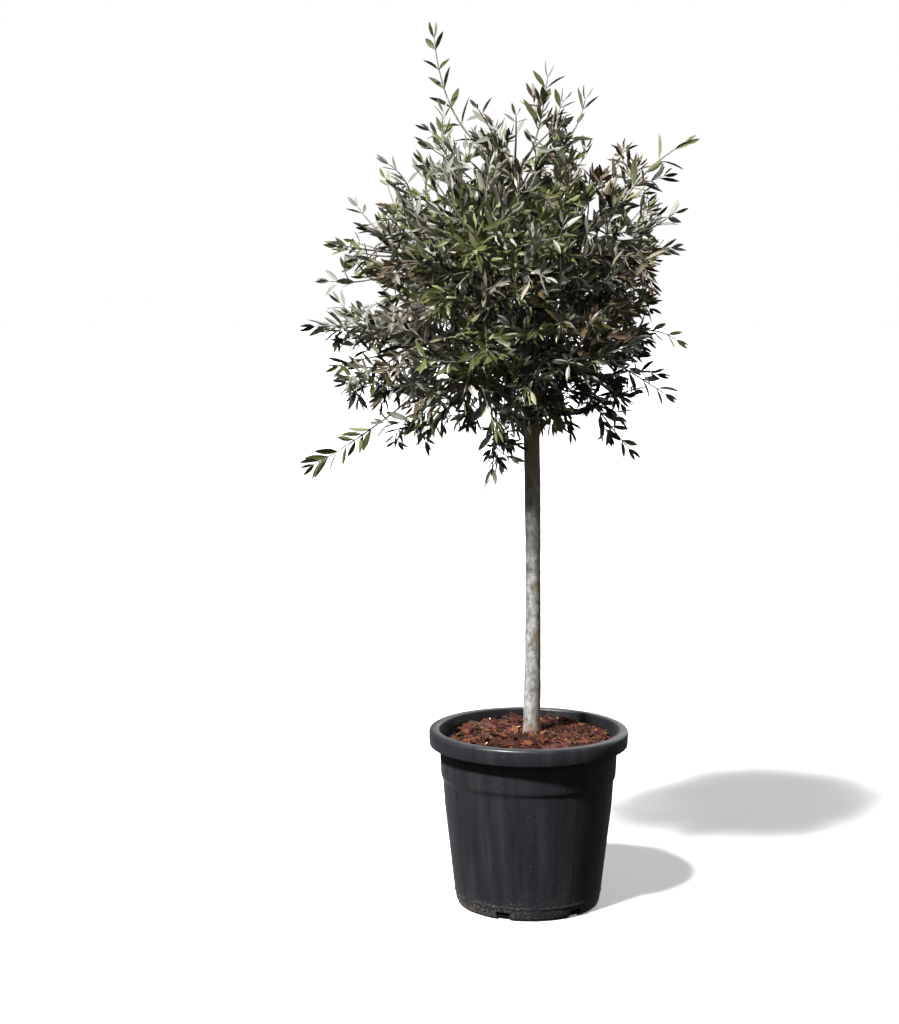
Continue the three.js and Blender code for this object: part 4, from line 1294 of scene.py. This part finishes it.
# %% Hang the leaves
for shoot in all_shoots:
    arc = shoot["arc"]
    tint = int(deal.choice(len(TINTS), p=TINT_SHARES))
    tip = arc.tip - HEAD
    # patches of tint, some of them painted light and painted shade
    for x, z, radius, kept in TINT_PATCHES_AND_PAINTED_LIGHT:
        within = tip[1] < PATCH_DEPTH and math.hypot(tip[0] - x, tip[2] - z) < radius
        if within and deal.uniform() < PATCH_CHANCE:
            tint = TINTS.index(kept)
    young = deal.uniform() < YOUNG_SHARE
    wide = WIDER * max(0, -arc.along(1)[1])
    for k, node in enumerate(shoot["nodes"]):
        angle = LEAF_ANGLE + wide + OPENING * min(k, 3) + deal.uniform(-SWING, SWING)
        angle = math.radians(angle)
        size = deal.uniform(*LEAF_SIZES) * PAIR_SIZES[min(k, 2)]
        if shoot is sweep or shoot["pitch"] > LARGER_PITCH:
            size *= LARGER
        for way in (1, -1):
            if deal.uniform() < LOST_SHARE:
                continue
            axis = node["along"] * math.cos(angle) + node["side"] * way * math.sin(angle)
            facing = node["along"] * 0.8 + UP * 0.5 + deal.normal(0, 0.45, 3)
            leaf_tint = TINTS.index("bright") if young and k < 2 else tint
            add_leaf(node["point"], axis, facing, size, leaf_tint)
    end = arc.along(1)
    for turn in (0, math.pi):
        side = turned_about(unit(np.cross(LEAN, end)), end, turn)
        axis = unit(end + side * LAST_SIDE)
        young_tint = TINTS.index("bright") if young else tint
        add_leaf(arc.tip, axis, side + UP * 0.3, LAST_LEAF * deal.uniform(0.85, 1), young_tint)
leaves = {key: np.array([row[key] for row in leaf_rows]) for key in leaf_rows[0]}
print(len(leaf_rows), "leaves")

# %% [markdown]
# Leaf colours have a place on the tree, so each tint is its own piece with a plain colour on its upper faces
# and a paler one on its undersides. The waxy skin gives the shine. A very fine bump breaks it up, as the
# scales and side veins do. A leaf that would grow out of the CAD box is left out, and so is one that would
# stand in an opening.

# %% Finishes and pieces of the leaves
LEAF_COLOURS = {  # of the upper face and of the underside
    "dark": ("#242A1E", "#3A3C32"),
    "olive": ("#4A5128", "#767A58"),
    "silvery": ("#8F9185", "#B0AFA2"),
    "dusty": ("#867C68", "#A0968A"),
    "bright": ("#6C7142", "#989A70"),
    "bronze": ("#5F4E38", "#827360"),
}
LEAF_ROUGHNESS = (0.42, 0.62)
SCALE_SIZE = 1.2 * MM
WAX = 0.62

low, high = np.array(cad_low) / MM, np.array(cad_high) / MM
for number, tint in enumerate(TINTS):
    chosen = {key: rows[leaves["tint"] == number] for key, rows in leaves.items()}
    vertices = leaf_vertices(chosen)
    fits = ((vertices > low) & (vertices < high)).all(axis=(1, 2))
    fits &= ~in_an_opening(vertices).any(axis=1)
    vertices = vertices[fits]
    faces = leaf_faces[None] + (np.arange(len(vertices)) * vertices.shape[1])[:, None, None]
    sides = np.tile(leaf_sides, len(vertices))
    piece = mesh_piece("leaves_" + tint, vertices.reshape(-1, 3), faces.reshape(-1, 3), sides)
    materials = []
    for face, code, roughness in zip(("upper", "under"), LEAF_COLOURS[tint], LEAF_ROUGHNESS):
        material, tree, place = new_finish("olive_leaf_" + tint + "_" + face)
        scales = add(tree, "ShaderNodeTexNoise", {"Vector": place, "Scale": 1 / SCALE_SIZE, "Detail": 2})
        looks = {"Base Color": colour(code), "Roughness": roughness, "Specular IOR Level": WAX}
        surface(tree, looks, scales.outputs["Fac"], 0.2, 0.3 * MM)
        materials.append(material)
    finished(piece, materials, foliage, crease=60)

# %% [markdown]
# The studio is a wide table of white acrylic that is lit from below, as for product photographs, so the
# shadow on it stays pale. A white backdrop closes it off all round. Both show only to the camera, so they add
# no light of their own to the tree.

# %% Floor and backdrop
STUDIO_RADIUS = 60
TABLE_GLOW = 0.22


def only_for_the_camera(thing, name, finish):
    """Names and dresses a part of the studio, which lights nothing."""
    thing.name = name
    thing.data.materials.append(finish)
    thing.visible_diffuse = thing.visible_glossy = thing.visible_transmission = False
    thing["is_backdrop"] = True


nothing_selected()
bpy.ops.mesh.primitive_circle_add(vertices=96, radius=STUDIO_RADIUS, fill_type="NGON")
acrylic, tree, place = new_finish("lit_white_acrylic")
hazy = {"Vector": place, "Scale": 3.0, "Detail": 2}
pale = mottled(tree, hazy, (0.3, "#F6F6F6"), (0.7, "#FAFAFA"))[1]
glow = {"Emission Color": colour("#FFFFFF"), "Emission Strength": TABLE_GLOW}
surface(tree, {"Base Color": pale, "Roughness": 0.9, **glow})
only_for_the_camera(bpy.context.object, "floor", acrylic)

bpy.ops.mesh.primitive_uv_sphere_add(segments=64, ring_count=32, radius=STUDIO_RADIUS)
bpy.context.object.visible_shadow = False
white_paper, tree, place = new_finish("white_backdrop_paper")
shader = add(tree, "ShaderNodeEmission", {"Color": colour("#FFFFFF"), "Strength": 1.0})
add(tree, "ShaderNodeOutputMaterial", {"Surface": shader.outputs[0]})
only_for_the_camera(bpy.context.object, "backdrop", white_paper)

# %% [markdown]
# The light comes from a key light high at the left and in front, from a weak and very soft one at the back
# right, which keeps the far side from going black, and from a pale sky that is brightest overhead and at
# the horizon, and dark below the table.

# %% Light
LIGHTS = [  # way from the tree towards the light, strength, and degrees that the light spans
    ((-0.398, -0.480, 0.782), 7.0, 6),
    ((0.42, 0.74, 0.53), 1.1, 60),
]
LIGHT_DISTANCE = 5
SKY = [  # from straight down to straight up
    (0.0, "#404040"), (0.49, "#404040"), (0.5, "#888888"),
    (0.7, "#5C5C5C"), (0.85, "#606060"), (1.0, "#888888"),
]

for way, strength, span in LIGHTS:
    tilt, turn = math.acos(way[2]), math.atan2(way[0], -way[1])
    from_there = np.array(way) * LIGHT_DISTANCE
    bpy.ops.object.light_add(type="SUN", location=from_there, rotation=(tilt, 0, turn))
    light = bpy.context.object
    light.data.energy = strength
    light.data.angle = math.radians(span)

world = bpy.data.worlds.new("white_studio")
world.use_nodes = True
tree = world.node_tree
tree.nodes.clear()
way = add(tree, "ShaderNodeTexCoord").outputs["Generated"]
rise = add(tree, "ShaderNodeSeparateXYZ", {"Vector": way}).outputs["Z"]
share = add(tree, "ShaderNodeMapRange", {"Value": rise, "From Min": -1.0, "From Max": 1.0})
sky = add(tree, "ShaderNodeValToRGB", {"Fac": share.outputs[0]})
ramp(sky, *SKY)
shader = add(tree, "ShaderNodeBackground", {"Color": sky.outputs[0], "Strength": 1.0})
add(tree, "ShaderNodeOutputWorld", {"Surface": shader.outputs[0]})
bpy.context.scene.world = world
bpy.context.scene.view_settings.view_transform = "Standard"
print("the studio has", len(LIGHTS), "lights and a sky")

# %% [markdown]
# The last cell prints the box of the finished tree, to set beside the CAD box printed at the start.

# %% The finished tree's box
low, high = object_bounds()
print("visual box in mm:", [round(v / MM) for v in (*low, *high)])
